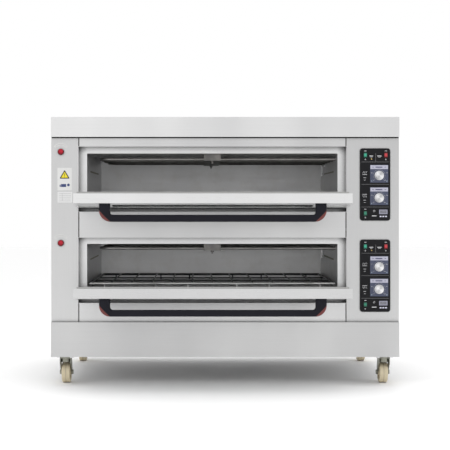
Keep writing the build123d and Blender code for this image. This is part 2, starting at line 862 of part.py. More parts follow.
def knob(x, z):
    """Turned aluminium knob with a skirt and a pointer groove, on its own spindle."""
    back = -control_thickness - controller_plate - knob_lift
    plane = Plane(origin=(x, back, z), x_dir=(1, 0, 0), z_dir=(0, -1, 0))
    base = (Align.CENTER, Align.CENTER, Align.MIN)
    skirt = Cylinder(knob_radius, knob_skirt, align=base)
    grip = Cylinder(knob_radius - 2.5, knob_height, align=base)
    body = fillet(grip.faces().sort_by(Axis.Z)[-1].edges(), 1.2) + skirt
    body -= Cylinder(spindle_radius + 0.02, knob_height - 4, align=base)
    body -= Pos(0, knob_radius - 6, knob_height - 0.4) * Box(1.6, 7.0, 2.0)
    spindle = Cylinder(spindle_radius, spindle_length + knob_height - 4.5, align=base)
    spindle = Pos(0, 0, -spindle_length) * spindle
    return separate([plane * body, plane * spindle])


def timer_module(deck):
    """Timer with its display and three keys standing just through the panel."""
    x, z = timer_point(deck)
    front = -control_thickness
    case_z = (z - key_drop - key_height, z + display_height / 2 + key_height)
    unit = block((x - timer_width / 2, x + timer_width / 2), (0, timer_depth), case_z)
    display_x = (x - display_width / 2, x + display_width / 2)
    unit += block(display_x, (front - display_proud, 0), (z - display_height / 2, z + display_height / 2))
    for kx, kz in key_points(deck):
        key_x = (kx - key_width / 2, kx + key_width / 2)
        unit += block(key_x, (front - key_proud, 0), (kz - key_height / 2, kz + key_height / 2))
    return unit


def rocker_housing(x, z):
    """Snap-in switch body with a bezel, open at the front for the rocker."""
    front = -control_thickness
    wide = rocker_width / 2
    tall = rocker_height / 2
    body = block((x - wide, x + wide), (front - rocker_flange, front), (z - tall, z + tall))
    body += block((x - wide + 1, x + wide - 1), (front, rocker_depth), (z - tall + 1, z + tall - 1))
    inner = wide - 1 - rocker_wall
    body -= block((x - inner, x + inner), (front - 5, front + rocker_pit), (z - tall + 2, z + tall - 2))
    reach = inner - free + rocker_pin_reach + screw_free
    return body - bar((x - reach, front, z), (x + reach, front, z), rocker_pin_radius + running)


def rocker(x, z):
    """Rocker cap with a shallow dished face, on stub pins, tilted with its top pressed in."""
    front = -control_thickness
    half = rocker_width / 2 - 1 - rocker_wall - free
    cap = bar((x - half, front, z), (x + half, front, z), rocker_radius)
    far = rocker_radius + 1
    face = Polygon((front - 3.0, z), (front - 4.1, z + far), (front - 20, z + far),
                   (front - 20, z - far), (front - 4.1, z - far), align=None)
    cap -= extrude(Plane.YZ.offset(x - half - 1) * face, 2 * half + 2, dir=(1, 0, 0))
    reach = half + rocker_pin_reach
    cap += bar((x - reach, front, z), (x + reach, front, z), rocker_pin_radius)
    return cap.rotate(Axis((x, front, z), (1, 0, 0)), -rocker_tilt)


def button_place(deck):
    """X and Z of a deck's push-button."""
    return -half_width + 33.5, deck + 210.0


def button_housing(deck):
    """Round bezel and barrel of a push-button."""
    x, z = button_place(deck)
    housing = bar((x, -bezel_depth, z), (x, 0, z), bezel_radius)
    housing += bar((x, 0, z), (x, barrel_length, z), barrel_radius)
    return housing - bar((x, -bezel_depth - 1, z), (x, barrel_length / 2, z), stem_radius + free)


def push_button(deck):
    """Domed red head on a stem that slides in the barrel."""
    x, z = button_place(deck)
    back = -bezel_depth - button_travel - free
    head = bar((x, back - button_head_height, z), (x, back, z), button_head_radius)
    head = fillet(head.faces().sort_by(Axis.Y)[0].edges(), button_head_height - 1.5)
    stem_end = barrel_length / 2 - button_travel - 3
    return head + bar((x, back, z), (x, stem_end, z), stem_radius)


def switch_housings():
    """Housings of every rocker and push-button."""
    housings = [button_housing(deck) for deck in decks.values()]
    for deck in decks.values():
        housings += [rocker_housing(x, z) for x, z in rocker_points(deck).values()]
    return separate(housings)


def contactors():
    """A row of contactors on their rail, inside the right-hand side panel."""
    wall = half_width - panel_sheet
    z = (lower_deck + contactor_rise, lower_deck + contactor_rise + contactor_height)
    middle = sum(z) / 2
    rail_y = (rail_from_front, rail_from_front + contactor_count * contactor_pitch)
    rail_z = (middle - rail_height / 2, middle + rail_height / 2)
    pieces = [block((wall - rail_depth, wall), rail_y, rail_z)]
    case_x = (wall - rail_depth - contactor_depth, wall - rail_depth)
    first = rail_from_front + (contactor_pitch - contactor_width) / 2
    for i in range(contactor_count):
        start = first + i * contactor_pitch
        pieces.append(block(case_x, (start, start + contactor_width), z))
    return separate(pieces)


def gland_place():
    """Point on the back panel where the supply cable comes in."""
    return half_width - gland_from_side, body_depth, base_top + gland_rise


def cable_gland():
    """Screwed gland with an inside locknut, bored for the supply cable."""
    x, y, z = gland_place()
    tail_end = y - gland_tail
    gland = bar((x, tail_end, z), (x, y + 8, z), gland_bore + gland_wall)
    hexagon = Plane(origin=(x, y, z), z_dir=(0, 1, 0)) * RegularPolygon(gland_bore + 9, 6)
    gland += extrude(hexagon, 9)
    dome = bar((x, y + 9, z), (x, y + gland_length, z), gland_bore + 6)
    gland += fillet(dome.faces().sort_by(Axis.Y)[-1].edges(), 4)
    inside = Plane(origin=(x, y - panel_sheet, z), z_dir=(0, -1, 0))
    gland += extrude(inside * RegularPolygon(gland_bore + 8, 6), 6)
    return gland - bar((x, tail_end - 1, z), (x, y + gland_length + 1, z), gland_bore)


# ---- Casters ----
def caster_bolt_places():
    """X and Y of the bolts through the base floor."""
    step = caster_plate / 2 - caster_bolt_inset
    places = []
    for x in (-caster_x, caster_x):
        for y in caster_ys:
            places += [(x + dx, y + dy) for dx in (-step, step) for dy in (-step, step)]
    return places


def caster_plates():
    """Top plate, bearing race and kingpin of every caster."""
    low = caster_height - caster_plate_sheet
    half = caster_plate / 2
    plates = []
    for x in (-caster_x, caster_x):
        for y in caster_ys:
            plate = block((x - half, x + half), (y - half, y + half), (low, caster_height))
            plate = fillet(plate.edges().filter_by(Axis.Z), 6)
            plate += bar((x, y, low - race_height), (x, y, low), race_radius)
            end = low - kingpin_drop
            plate += bar((x, y, end), (x, y, low), kingpin_radius)
            plate += bar((x, y, end), (x, y, end + kingpin_head_height), kingpin_head_radius)
            plates.append(plate)
    plates = separate(plates)
    for x, y in caster_bolt_places():
        plates -= bar((x, y, low - 1), (x, y, caster_height + 1), caster_bolt_radius + screw_free)
    return plates


def caster_frame(x, y):
    """Local frame of a caster: X across, Y the way it trails, Z up, origin on the floor."""
    trail = Vector(0, 1, 0) if y < body_depth / 2 else Vector(0, -1, 0)
    return Plane(origin=(x, y, 0), x_dir=trail.cross(Vector(0, 0, 1)), z_dir=(0, 0, 1))


def caster_fork(x, y):
    """Pressed fork that swivels under the race, with its dust skirt and axle bolt."""
    top = caster_height - caster_plate_sheet - race_height - free
    crown = top - fork_crown_height
    half = wheel_width / 2 + fork_side_gap
    outer = half + fork_sheet
    reach = fork_half_depth
    boss = axle_boss_radius
    skirt_end = 2 * wheel_radius + skirt_gap
    fork = bar((0, 0, crown), (0, 0, top), race_radius)
    fork += bar((0, 0, skirt_end), (0, 0, crown), half)
    fork -= bar((0, 0, skirt_end - 1), (0, 0, crown), skirt_bore)
    fork += block((-outer, outer), (-reach, reach), (crown, top - 1))
    side = Polygon((-reach, top - 1), (reach, top - 1), (caster_trail + boss, wheel_radius + 6),
                   (caster_trail + boss, wheel_radius), (caster_trail - boss, wheel_radius),
                   (-reach, top - 20), align=None)
    leg = extrude(Plane.YZ.offset(half) * side, fork_sheet, dir=(1, 0, 0))
    leg += bar((half, caster_trail, wheel_radius), (outer, caster_trail, wheel_radius), boss)
    fork += [leg, mirror_x(leg)]
    fork -= bar((0, 0, crown - 1), (0, 0, top + 1), kingpin_radius + running)
    across = outer + 1
    centre = (caster_trail, wheel_radius)
    fork -= bar((-across, *centre), (across, *centre), axle_radius + 0.02)
    tip = outer + axle_head_height
    axle = bar((-tip, *centre), (tip, *centre), axle_radius)
    for start, end in ((-tip, -outer), (outer, tip)):
        axle += bar((start, *centre), (end, *centre), axle_head_radius)
    place = caster_frame(x, y)
    return separate([place * fork, place * axle])


def caster_wheel(x, y):
    """Nylon wheel with a seam groove round its tread and dished sides."""
    half = wheel_width / 2
    hub = half + hub_proud
    centre = (caster_trail, wheel_radius)
    wheel = bar((-half, *centre), (half, *centre), wheel_radius)
    wheel = fillet(wheel.edges(), tread_rounding)
    for side in (-1, 1):
        floor = side * (half - dish_depth)
        wheel -= bar((side * (half + 1), *centre), (floor, *centre), wheel_radius - rim_width)
    wheel += bar((-hub, *centre), (hub, *centre), hub_radius)
    seam = seam_width / 2
    groove = bar((-seam, *centre), (seam, *centre), wheel_radius + 1)
    wheel -= groove - bar((-seam, *centre), (seam, *centre), wheel_radius - seam_depth)
    wheel -= bar((-hub - 1, *centre), (hub + 1, *centre), axle_radius + running)
    return caster_frame(x, y) * wheel


def fasteners():
    """Panel screws, and the bolts and nuts that hold the casters."""
    pieces = [screw(place, outward) for place, outward in screw_places()]
    low = caster_height - caster_plate_sheet
    high = caster_height + base_sheet
    for x, y in caster_bolt_places():
        bolt = bar((x, y, low), (x, y, high + 8), caster_bolt_radius)
        for start, height in ((low - 5, 5), (high, 6.5)):
            hexagon = Plane(origin=(x, y, start)) * RegularPolygon(7.5, 6)
            bolt += extrude(hexagon, height)
        pieces.append(bolt)
    return separate(pieces)


# ---- Assembly ----
nodes = {
    "chassis_frame": chassis_frame(),
    "base_panels": base_panels(),
    "canopy": canopy(),
    "side_panels": side_panels(),
    "rear_panel": rear_panel(),
    "left_front_panel": left_front_panel(),
    "control_fascia": control_fascia(),
    "front_rails": front_rails(),
    "hinge_brackets": hinge_brackets(),
    "heating_elements": heating_elements(),
    "heater_supports": heater_supports(),
    "switch_housings": switch_housings(),
    "contactors": contactors(),
    "cable_gland": cable_gland(),
    "caster_plates": caster_plates(),
    "fasteners": fasteners(),
}
per_deck = {
    "door_frames": door_frame,
    "baking_chambers": chamber,
    "insulation": insulation,
    "floor_plates": floor_plate,
    "baking_racks": baking_rack,
    "temperature_probes": temperature_probe,
    "control_panels": control_panel,
    "timer_modules": timer_module,
}
for name, make in per_deck.items():
    nodes[name] = separate([make(deck) for deck in decks.values()])
nodes["temperature_controllers"] = separate(
    [temperature_controller(x, z) for deck in decks.values() for x, z in controller_points(deck).values()])

for level, deck in decks.items():
    blank = handle_blank(deck)
    cutter = trim_cutter(deck)
    door = {
        "door_shell": door_shell(deck),
        "door_liner": door_liner(deck),
        "door_glass": door_glass(deck),
        "door_gasket": door_gasket(deck),
        "door_bearings": door_bearings(deck),
        "handle": separate([blank - cutter]),
        "handle_trims": separate([blank & cutter]),
    }
    for name, shape in door.items():
        nodes[f"{level}_{name}"] = opened(shape, deck)
    for heat, (x, z) in controller_points(deck).items():
        nodes[f"{level}_{heat}_heat_knob"] = knob(x, knob_centre(z))
    for use, (x, z) in rocker_points(deck).items():
        nodes[f"{level}_{use}_rocker"] = rocker(x, z)
    nodes[f"{level}_push_button"] = push_button(deck)

for side, x in {"left": -caster_x, "right": caster_x}.items():
    for end, y in zip(("front", "rear"), caster_ys):
        nodes[f"{end}_{side}_caster_fork"] = caster_fork(x, y)
        nodes[f"{end}_{side}_caster_wheel"] = caster_wheel(x, y)

os.makedirs("parts", exist_ok=True)
for name, shape in nodes.items():
    moved = [Pos(0, origin_shift, 0) * solid for solid in shape.solids()]
    export_step(Compound(moved), f"parts/{name}.step")
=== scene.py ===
import math

import bmesh
import bpy
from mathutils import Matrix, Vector


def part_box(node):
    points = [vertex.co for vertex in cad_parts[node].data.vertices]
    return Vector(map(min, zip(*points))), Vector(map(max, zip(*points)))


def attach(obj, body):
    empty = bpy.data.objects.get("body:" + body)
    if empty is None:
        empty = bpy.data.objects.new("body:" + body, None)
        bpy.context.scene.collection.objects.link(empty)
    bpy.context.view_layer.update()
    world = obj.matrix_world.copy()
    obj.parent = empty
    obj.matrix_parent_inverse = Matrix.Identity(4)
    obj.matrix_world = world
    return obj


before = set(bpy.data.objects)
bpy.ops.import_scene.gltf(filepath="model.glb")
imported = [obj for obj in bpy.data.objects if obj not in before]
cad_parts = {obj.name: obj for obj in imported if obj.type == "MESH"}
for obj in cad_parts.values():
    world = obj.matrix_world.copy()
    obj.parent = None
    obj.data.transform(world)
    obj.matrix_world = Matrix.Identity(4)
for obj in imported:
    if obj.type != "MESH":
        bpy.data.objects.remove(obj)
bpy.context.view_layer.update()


# ---- Floor and studio light ----
# The oven stands on a plain pale studio floor in an even white surround. Broad soft
# boxes at the front left, at the right, overhead and behind model its edges.

floor_half = 14.0
floor_mesh = bpy.data.meshes.new("studio_floor")
floor_mesh.from_pydata(
    [(-floor_half, -floor_half, 0), (floor_half, -floor_half, 0),
     (floor_half, floor_half, 0), (-floor_half, floor_half, 0)], [], [(0, 1, 2, 3)])
studio_floor = bpy.data.objects.new("studio_floor", floor_mesh)
bpy.context.scene.collection.objects.link(studio_floor)


def shade(tree, kind, inputs=None, **settings):
    """One shader node; each of its inputs is a plain value or another node's output."""
    made = tree.nodes.new("ShaderNode" + kind)
    for name, value in settings.items():
        setattr(made, name, value)
    for name, value in (inputs or {}).items():
        if isinstance(value, bpy.types.NodeSocket):
            tree.links.new(value, made.inputs[name])
        else:
            made.inputs[name].default_value = value
    return made


def new_material(name, colour, roughness, metallic=0.0, **more):
    """A material with its Principled shader; returns the material, its tree and the shader."""
    made = bpy.data.materials.new(name)
    made.use_nodes = True
    made.diffuse_color = (*colour, 1.0)
    tree = made.node_tree
    shader = tree.nodes["Principled BSDF"]
    shader.inputs["Base Color"].default_value = (*colour, 1.0)
    shader.inputs["Roughness"].default_value = roughness
    shader.inputs["Metallic"].default_value = metallic
    for socket, value in more.items():
        shader.inputs[socket.replace("_", " ")].default_value = value
    return made, tree, shader


floor_paint, floor_tree, floor_shader = new_material("pale_floor", (0.98, 0.98, 0.98), 0.7)
floor_spots = shade(floor_tree, "TexNoise", {"Scale": 2.0, "Detail": 3.0})
floor_tone = shade(floor_tree, "MapRange", {0: floor_spots.outputs[0], "To Min": 0.66, "To Max": 0.74})
floor_tree.links.new(floor_tone.outputs[0], floor_shader.inputs["Roughness"])
floor_mesh.materials.append(floor_paint)

surround = bpy.data.worlds.new("white_surround")
surround.use_nodes = True
surround_light = surround.node_tree.nodes["Background"]
surround_light.inputs["Color"].default_value = (1.0, 1.0, 1.0, 1.0)
surround_light.inputs["Strength"].default_value = 1.0
bpy.context.scene.world = surround
bpy.context.scene.view_settings.view_transform = "Standard"


def soft_box(name, place, aim, wide, tall, power):
    """A rectangular soft light at one point, turned towards another."""
    lamp = bpy.data.lights.new(name, "AREA")
    lamp.shape = "RECTANGLE"
    lamp.size = wide
    lamp.size_y = tall
    lamp.energy = power
    held = bpy.data.objects.new(name, lamp)
    held.location = place
    held.rotation_mode = "QUATERNION"
    held.rotation_quaternion = (Vector(aim) - Vector(place)).to_track_quat("-Z", "Y")
    bpy.context.scene.collection.objects.link(held)


oven_middle = (0.0, 0.0, 0.5)
soft_box("key_box", (-2.6, -3.6, 2.6), oven_middle, 1.8, 1.2, 20)
soft_box("side_box", (3.2, -1.6, 1.6), oven_middle, 1.4, 1.8, 16)
soft_box("overhead_box", (0.0, -0.4, 3.4), oven_middle, 2.6, 1.6, 30)
soft_box("rear_box", (0.4, 3.4, 2.2), oven_middle, 2.0, 1.6, 10)


# ---- Camera ----
# A long lens straight in front of the oven, a little above its middle and level, moved
# sideways and framed off centre, so that the top and the inside of the decks show.

front_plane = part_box("left_front_panel")[0].y
camera_distance = 4.4
lens = bpy.data.cameras.new("front_camera")
lens.lens = 100.3
lens.sensor_width = 36.0
lens.shift_x = 0.0511
lens.shift_y = -0.0444
camera = bpy.data.objects.new("front_camera", lens)
camera.location = (-0.081, front_plane - camera_distance, 0.634)
camera.rotation_euler = (math.radians(90), 0.0, 0.0)
bpy.context.scene.collection.objects.link(camera)
bpy.context.scene.camera = camera


# ---- Casters ----
# Four swivel casters: a pressed, zinc-plated fork under a bolted top plate, and a cream
# nylon wheel moulded in two halves, joined round its tread. The wheel is painted dark brown in
# its creases, where ambient occlusion is low: painted shade.

def effect(name, inputs, outputs):
    """An empty node group; inputs give each starting value and outputs each kind of socket."""
    tree = bpy.data.node_groups.new(name, "ShaderNodeTree")
    for label, value in inputs.items():
        kind = "NodeSocketVector" if isinstance(value, tuple) else "NodeSocketFloat"
        socket = tree.interface.new_socket(label, in_out="INPUT", socket_type=kind)
        socket.default_value = value
    for label, kind in outputs.items():
        tree.interface.new_socket(label, in_out="OUTPUT", socket_type="NodeSocket" + kind)
    return tree, tree.nodes.new("NodeGroupInput").outputs, tree.nodes.new("NodeGroupOutput").inputs


def use(tree, group, **values):
    """Place an effect in a material with its own values."""
    placed = tree.nodes.new("ShaderNodeGroup")
    placed.node_tree = group
    for label, value in values.items():
        placed.inputs[label.replace("_", " ")].default_value = value
    return placed.outputs


def blend_colours(tree, share, first, second):
    """Mix two colours; each is a plain colour or a socket."""
    mixed = shade(tree, "Mix", data_type="RGBA")
    for place, value in ((0, share), (6, first), (7, second)):
        if isinstance(value, bpy.types.NodeSocket):
            tree.links.new(value, mixed.inputs[place])
        else:
            mixed.inputs[place].default_value = value if place == 0 else (*value, 1.0)
    return mixed.outputs[2]


def spread(tree, value, low, high, to_low, to_high):
    """Map a value from one range to another, held within its ends."""
    mapped = shade(tree, "MapRange", {0: value, 1: low, 2: high, 3: to_low, 4: to_high})
    return mapped.outputs[0]


def cover(node, material, bevel=0.0):
    """Give a part its material, and break its sharp edges by a bevel."""
    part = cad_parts[node]
    part.data.materials.clear()
    part.data.materials.append(material)
    if bevel:
        rounding = part.modifiers.new("broken_edges", "BEVEL")
        rounding.width = bevel
        rounding.segments = 2
        rounding.limit_method = "ANGLE"
        rounding.angle_limit = math.radians(40)
    return part


moulded, moulded_in, moulded_out = effect(
    "moulded_skin", {"Grain": 900.0, "Depth": 0.2},
    {"Tone": "Float", "Patches": "Float", "Normal": "Vector"})
place = shade(moulded, "TexCoord").outputs["Object"]
fine = shade(moulded, "TexNoise", {"Vector": place, "Scale": moulded_in["Grain"], "Detail": 2.0})
wide = shade(moulded, "TexNoise", {"Vector": place, "Scale": 14.0, "Detail": 3.0})
raised = shade(moulded, "Bump", {"Strength": moulded_in["Depth"], "Distance": 0.00006,
                                 "Height": fine.outputs[0]})
moulded.links.new(fine.outputs[0], moulded_out["Tone"])
moulded.links.new(wide.outputs[0], moulded_out["Patches"])
moulded.links.new(raised.outputs[0], moulded_out["Normal"])

# Edge mask from the bevel normal. Materials paint their edges lighter with it: a painted highlight, on some
# parts partly wear as well.
worn_lit_edges, worn_lit_edges_in, worn_lit_edges_out = effect("worn_and_lit_edges", {"Width": 0.001, "Contrast": 6.0}, {"Edge": "Float"})
rounded_normal = shade(worn_lit_edges, "Bevel", {"Radius": worn_lit_edges_in["Width"]}, samples=4)
true_normal = shade(worn_lit_edges, "NewGeometry").outputs["Normal"]
alike = shade(worn_lit_edges, "VectorMath", {0: rounded_normal.outputs[0], 1: true_normal}, operation="DOT_PRODUCT")
apart = shade(worn_lit_edges, "Math", {0: 1.0, 1: alike.outputs["Value"]}, operation="SUBTRACT")
stronger = shade(worn_lit_edges, "Math", {0: apart.outputs[0], 1: worn_lit_edges_in["Contrast"]},
                 operation="MULTIPLY", use_clamp=True)
worn_lit_edges.links.new(stronger.outputs[0], worn_lit_edges_out["Edge"])

zinc, tree, shader = new_material("zinc_plate", (0.28, 0.28, 0.25), 0.38, 0.9)
skin = use(tree, moulded, Grain=260.0, Depth=0.12)
edge = use(tree, worn_lit_edges, Width=0.0008, Contrast=4.0)["Edge"]
spangle = shade(tree, "TexVoronoi", {"Scale": 160.0})
cells = spread(tree, spangle.outputs["Distance"], 0.0, 1.0, 0.0, 1.0)
dull = blend_colours(tree, cells, (0.21, 0.21, 0.17), (0.33, 0.33, 0.28))
# Edges painted lighter: partly scuffed zinc, partly a painted highlight.
worn_and_highlit = blend_colours(tree, edge, dull, (0.62, 0.62, 0.58))
tree.links.new(worn_and_highlit, shader.inputs["Base Color"])
tree.links.new(spread(tree, skin["Patches"], 0.3, 0.7, 0.30, 0.5), shader.inputs["Roughness"])
tree.links.new(skin["Normal"], shader.inputs["Normal"])

nylon, tree, shader = new_material("cream_nylon", (0.72, 0.62, 0.43), 0.42, 0.0, Coat_Weight=0.1)
skin = use(tree, moulded, Grain=500.0, Depth=0.25)
scuffs = shade(tree, "TexNoise", {"Scale": 60.0, "Detail": 6.0, "Roughness": 0.7})
clean = blend_colours(tree, skin["Patches"], (0.70, 0.62, 0.44), (0.58, 0.50, 0.34))
scuffed = spread(tree, scuffs.outputs[0], 0.52, 0.72, 0.0, 0.75)
scuffs_and_sheen = blend_colours(tree, scuffed, clean, (0.42, 0.33, 0.20))
# Painted shade: dark brown where ambient occlusion finds creases and recesses.
hollow = shade(tree, "AmbientOcclusion", {"Distance": 0.004}, samples=4)
crease_shade = spread(tree, hollow.outputs["AO"], 0.35, 0.85, 1.0, 0.0)
crease_shaded = blend_colours(tree, crease_shade, scuffs_and_sheen, (0.16, 0.11, 0.06))
tree.links.new(crease_shaded, shader.inputs["Base Color"])
tree.links.new(spread(tree, scuffs.outputs[0], 0.4, 0.7, 0.34, 0.6), shader.inputs["Roughness"])
tree.links.new(skin["Normal"], shader.inputs["Normal"])

for end in ("front", "rear"):
    for side in ("left", "right"):
        cover(f"{end}_{side}_caster_fork", zinc, 0.0004)
        cover(f"{end}_{side}_caster_wheel", nylon, 0.0004)
cover("caster_plates", zinc, 0.0004)


# ---- Cabinet sheets ----
# Skirt, side sheets, front sheets, cross rails, door frames and top cover, folded from
# satin stainless sheet. The grain runs upright on the side and front sheets and level on
# the rest. The folded edges are bevelled and carry a painted highlight, the joints carry
# painted shade, and each kind of sheet gets its own tone: painted light and shade.

brushed, brushed_in, brushed_out = effect(
    "brushed_grain", {"Run": (3.0, 3.0, 700.0), "Depth": 0.1},
    {"Streaks": "Float", "Sheen": "Float", "Smudges": "Float", "Normal": "Vector"})
place = shade(brushed, "TexCoord").outputs["Object"]
drawn = shade(brushed, "VectorMath", {0: place, 1: brushed_in["Run"]}, operation="MULTIPLY")
streaks = shade(brushed, "TexNoise", {"Vector": drawn.outputs[0], "Scale": 1.0, "Detail": 4.0,
                                      "Roughness": 0.65})
# Sheen: broad stretched noise, which materials use as painted sheen in their colour.
banded = shade(brushed, "VectorMath", {0: place, 1: (4.5, 1.0, 1.2)}, operation="MULTIPLY")
sheen = shade(brushed, "TexNoise", {"Vector": banded.outputs[0], "Scale": 1.0, "Detail": 1.0})
handled = shade(brushed, "TexNoise", {"Vector": place, "Scale": 22.0, "Detail": 5.0, "Roughness": 0.6})
raised = shade(brushed, "Bump", {"Strength": brushed_in["Depth"], "Distance": 0.0001,
                                 "Height": streaks.outputs[0]})
brushed.links.new(streaks.outputs[0], brushed_out["Streaks"])
brushed.links.new(sheen.outputs[0], brushed_out["Sheen"])
brushed.links.new(handled.outputs[0], brushed_out["Smudges"])
brushed.links.new(raised.outputs[0], brushed_out["Normal"])


def satin_steel(name, tone, run=(3.0, 3.0, 700.0), roughness=0.36, sheen=0.045, edge_width=0.0012):
    """Brushed stainless sheet of one tone; the grain runs along the small run. It carries bands of painted
    sheen, a painted highlight on its edges and painted shade in its joints and recesses.
    """
    made, tree, shader = new_material(name, (tone, tone, tone), roughness, 1.0)
    grain = use(tree, brushed, Run=run, Depth=0.08)
    edge = use(tree, worn_lit_edges, Width=edge_width, Contrast=3.0)["Edge"]
    darker = [tone * (1 - 1.6 * sheen)] * 2 + [tone * (1 - 1.5 * sheen)]
    lighter = [tone * (1 + 1.6 * sheen)] * 3
    # Painted sheen: broad bands a few per cent lighter and darker than the tone.
    broad = blend_colours(tree, spread(tree, grain["Sheen"], 0.3, 0.7, 0.0, 1.0), darker, lighter)
    fine = spread(tree, grain["Streaks"], 0.3, 0.7, 0.0, 0.12)
    drawn = blend_colours(tree, fine, broad, [tone * 0.72] * 3)
    # Painted highlight: the edges are lifted to 1.2 times the tone.
    bright = blend_colours(tree, edge, drawn, [min(1.0, tone * 1.2)] * 3)
    # Painted shade: the colour falls to 0.12 of the tone where ambient occlusion is low, in joints and
    # recesses.
    open_sky = shade(tree, "AmbientOcclusion", {"Distance": 0.03}, samples=6)
    joint_shade = spread(tree, open_sky.outputs["AO"], 0.28, 0.80, 1.0, 0.0)
    tree.links.new(blend_colours(tree, joint_shade, bright, [tone * 0.12] * 3), shader.inputs["Base Color"])
    dulled = spread(tree, grain["Streaks"], 0.3, 0.7, roughness - 0.05, roughness + 0.06)
    touched = spread(tree, grain["Smudges"], 0.5, 0.75, 0.0, 0.07)
    rough = shade(tree, "Math", {0: dulled, 1: touched}, operation="ADD")
    tree.links.new(rough.outputs[0], shader.inputs["Roughness"])
    tree.links.new(grain["Normal"], shader.inputs["Normal"])
    return made


# Each kind of sheet gets its own lighter or darker tone of the one steel: painted light and shade.
panel_steel = satin_steel("panel_steel", 0.53)
canopy_steel = satin_steel("canopy_steel", 0.70)
rail_steel = satin_steel("rail_steel", 0.60)
upright_steel = satin_steel("upright_steel", 0.56, run=(700.0, 3.0, 3.0))
cover("base_panels", panel_steel, 0.0006)
cover("side_panels", upright_steel, 0.0003)
cover("left_front_panel", upright_steel, 0.0003)
cover("control_fascia", upright_steel, 0.0003)
cover("front_rails", rail_steel, 0.0004)
cover("door_frames", satin_steel("frame_steel", 0.72), 0.0004)
cover("canopy", canopy_steel, 0.0006)


# ---- Back sheet, frame and hinge brackets ----
# The back is zinc-coated sheet. The frame inside is welded from square tube and primed
# grey. The hinge brackets are laser-cut plates with pins pressed and welded in.

galvanised, tree, shader = new_material("galvanised_sheet", (0.48, 0.49, 0.495), 0.42, 0.85)
place = shade(tree, "TexCoord").outputs["Object"]
warped = shade(tree, "TexNoise", {"Vector": place, "Scale": 30.0, "Detail": 2.0})
crystals = shade(tree, "TexVoronoi", {"Vector": place, "Scale": 70.0, "Randomness": 1.0})
crystal_tone = spread(tree, crystals.outputs["Color"], 0.0, 1.0, 0.0, 1.0)
coated = blend_colours(tree, crystal_tone, (0.43, 0.44, 0.445), (0.52, 0.53, 0.535))
stained = spread(tree, warped.outputs[0], 0.55, 0.75, 0.0, 0.4)
tree.links.new(blend_colours(tree, stained, coated, (0.42, 0.43, 0.42)), shader.inputs["Base Color"])
tree.links.new(spread(tree, crystal_tone, 0.0, 1.0, 0.34, 0.52), shader.inputs["Roughness"])
cover("rear_panel", galvanised, 0.0003)
cover("hinge_brackets", galvanised, 0.0004)

primer, tree, shader = new_material("grey_primer", (0.20, 0.21, 0.22), 0.62)
skin = use(tree, moulded, Grain=420.0, Depth=0.3)
edge = use(tree, worn_lit_edges, Width=0.0015, Contrast=3.0)["Edge"]
painted = blend_colours(tree, skin["Patches"], (0.17, 0.18, 0.19), (0.24, 0.25, 0.26))
# Edges painted lighter: partly chipped primer, partly a painted highlight.
tree.links.new(blend_colours(tree, edge, painted, (0.38, 0.37, 0.36)), shader.inputs["Base Color"])
tree.links.new(skin["Normal"], shader.inputs["Normal"])
cover("chassis_frame", primer)


# ---- Screws and caster bolts ----
# Countersunk cross-head screws hold the side and back sheets, and hexagon bolts hold the
# casters. All are bright zinc. The cross recess of each screw is a dark cross painted on the
# head: painted shade in place of the hollow.

bright_zinc, tree, shader = new_material("bright_fitting", (0.70, 0.70, 0.71), 0.22, 1.0)
grain = use(tree, brushed, Run=(90.0, 90.0, 90.0), Depth=0.05)
tree.links.new(blend_colours(tree, grain["Streaks"], (0.58, 0.58, 0.59), (0.80, 0.80, 0.81)),
               shader.inputs["Base Color"])
tree.links.new(spread(tree, grain["Smudges"], 0.3, 0.7, 0.16, 0.34), shader.inputs["Roughness"])

recess, recess_in, recess_out = effect(
    "cross_recess",
    {"First": (0.0, 0.0, 0.0), "Half Step": (1.0, 1.0, 1.0), "Wide": 0.0008, "Long": 0.0024},
    {"Slot": "Float"})
place = shade(recess, "TexCoord").outputs["Object"]
from_first = shade(recess, "VectorMath", {0: place, 1: recess_in["First"]}, operation="SUBTRACT")
back_half = shade(recess, "VectorMath", {0: recess_in["Half Step"], "Scale": -1.0}, operation="SCALE")
nearest = shade(recess, "VectorMath", {0: from_first.outputs[0], 1: recess_in["Half Step"],
                                       2: back_half.outputs[0]}, operation="WRAP")
apart = shade(recess, "VectorMath", {0: nearest.outputs[0]}, operation="ABSOLUTE")
away = shade(recess, "SeparateXYZ", {0: apart.outputs[0]})
sideways = shade(recess, "Math", {0: away.outputs["X"], 1: away.outputs["Y"]}, operation="MINIMUM")
least = shade(recess, "Math", {0: sideways.outputs[0], 1: away.outputs["Z"]}, operation="MINIMUM")
most = shade(recess, "Math", {0: sideways.outputs[0], 1: away.outputs["Z"]}, operation="MAXIMUM")
thin = shade(recess, "Math", {0: least.outputs[0], 1: recess_in["Wide"]}, operation="LESS_THAN")
short = shade(recess, "Math", {0: most.outputs[0], 1: recess_in["Long"]}, operation="LESS_THAN")
slotted = shade(recess, "Math", {0: thin.outputs[0], 1: short.outputs[0]}, operation="MULTIPLY")
recess.links.new(slotted.outputs[0], recess_out["Slot"])

half_tube = 0.0125
from_edge = 0.016
from_end = 0.040
posts_low, posts_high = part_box("chassis_frame")
sheet_low, sheet_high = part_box("side_panels")
screw_low = Vector((sheet_low.x + from_edge, posts_low.y + half_tube, sheet_low.z + from_end))
screw_high = Vector((sheet_high.x - from_edge, posts_high.y - half_tube, sheet_high.z - from_end))
screw_step = (screw_high - screw_low) / 2
half_step = (screw_step.x, screw_step.y, screw_step.z / 2)
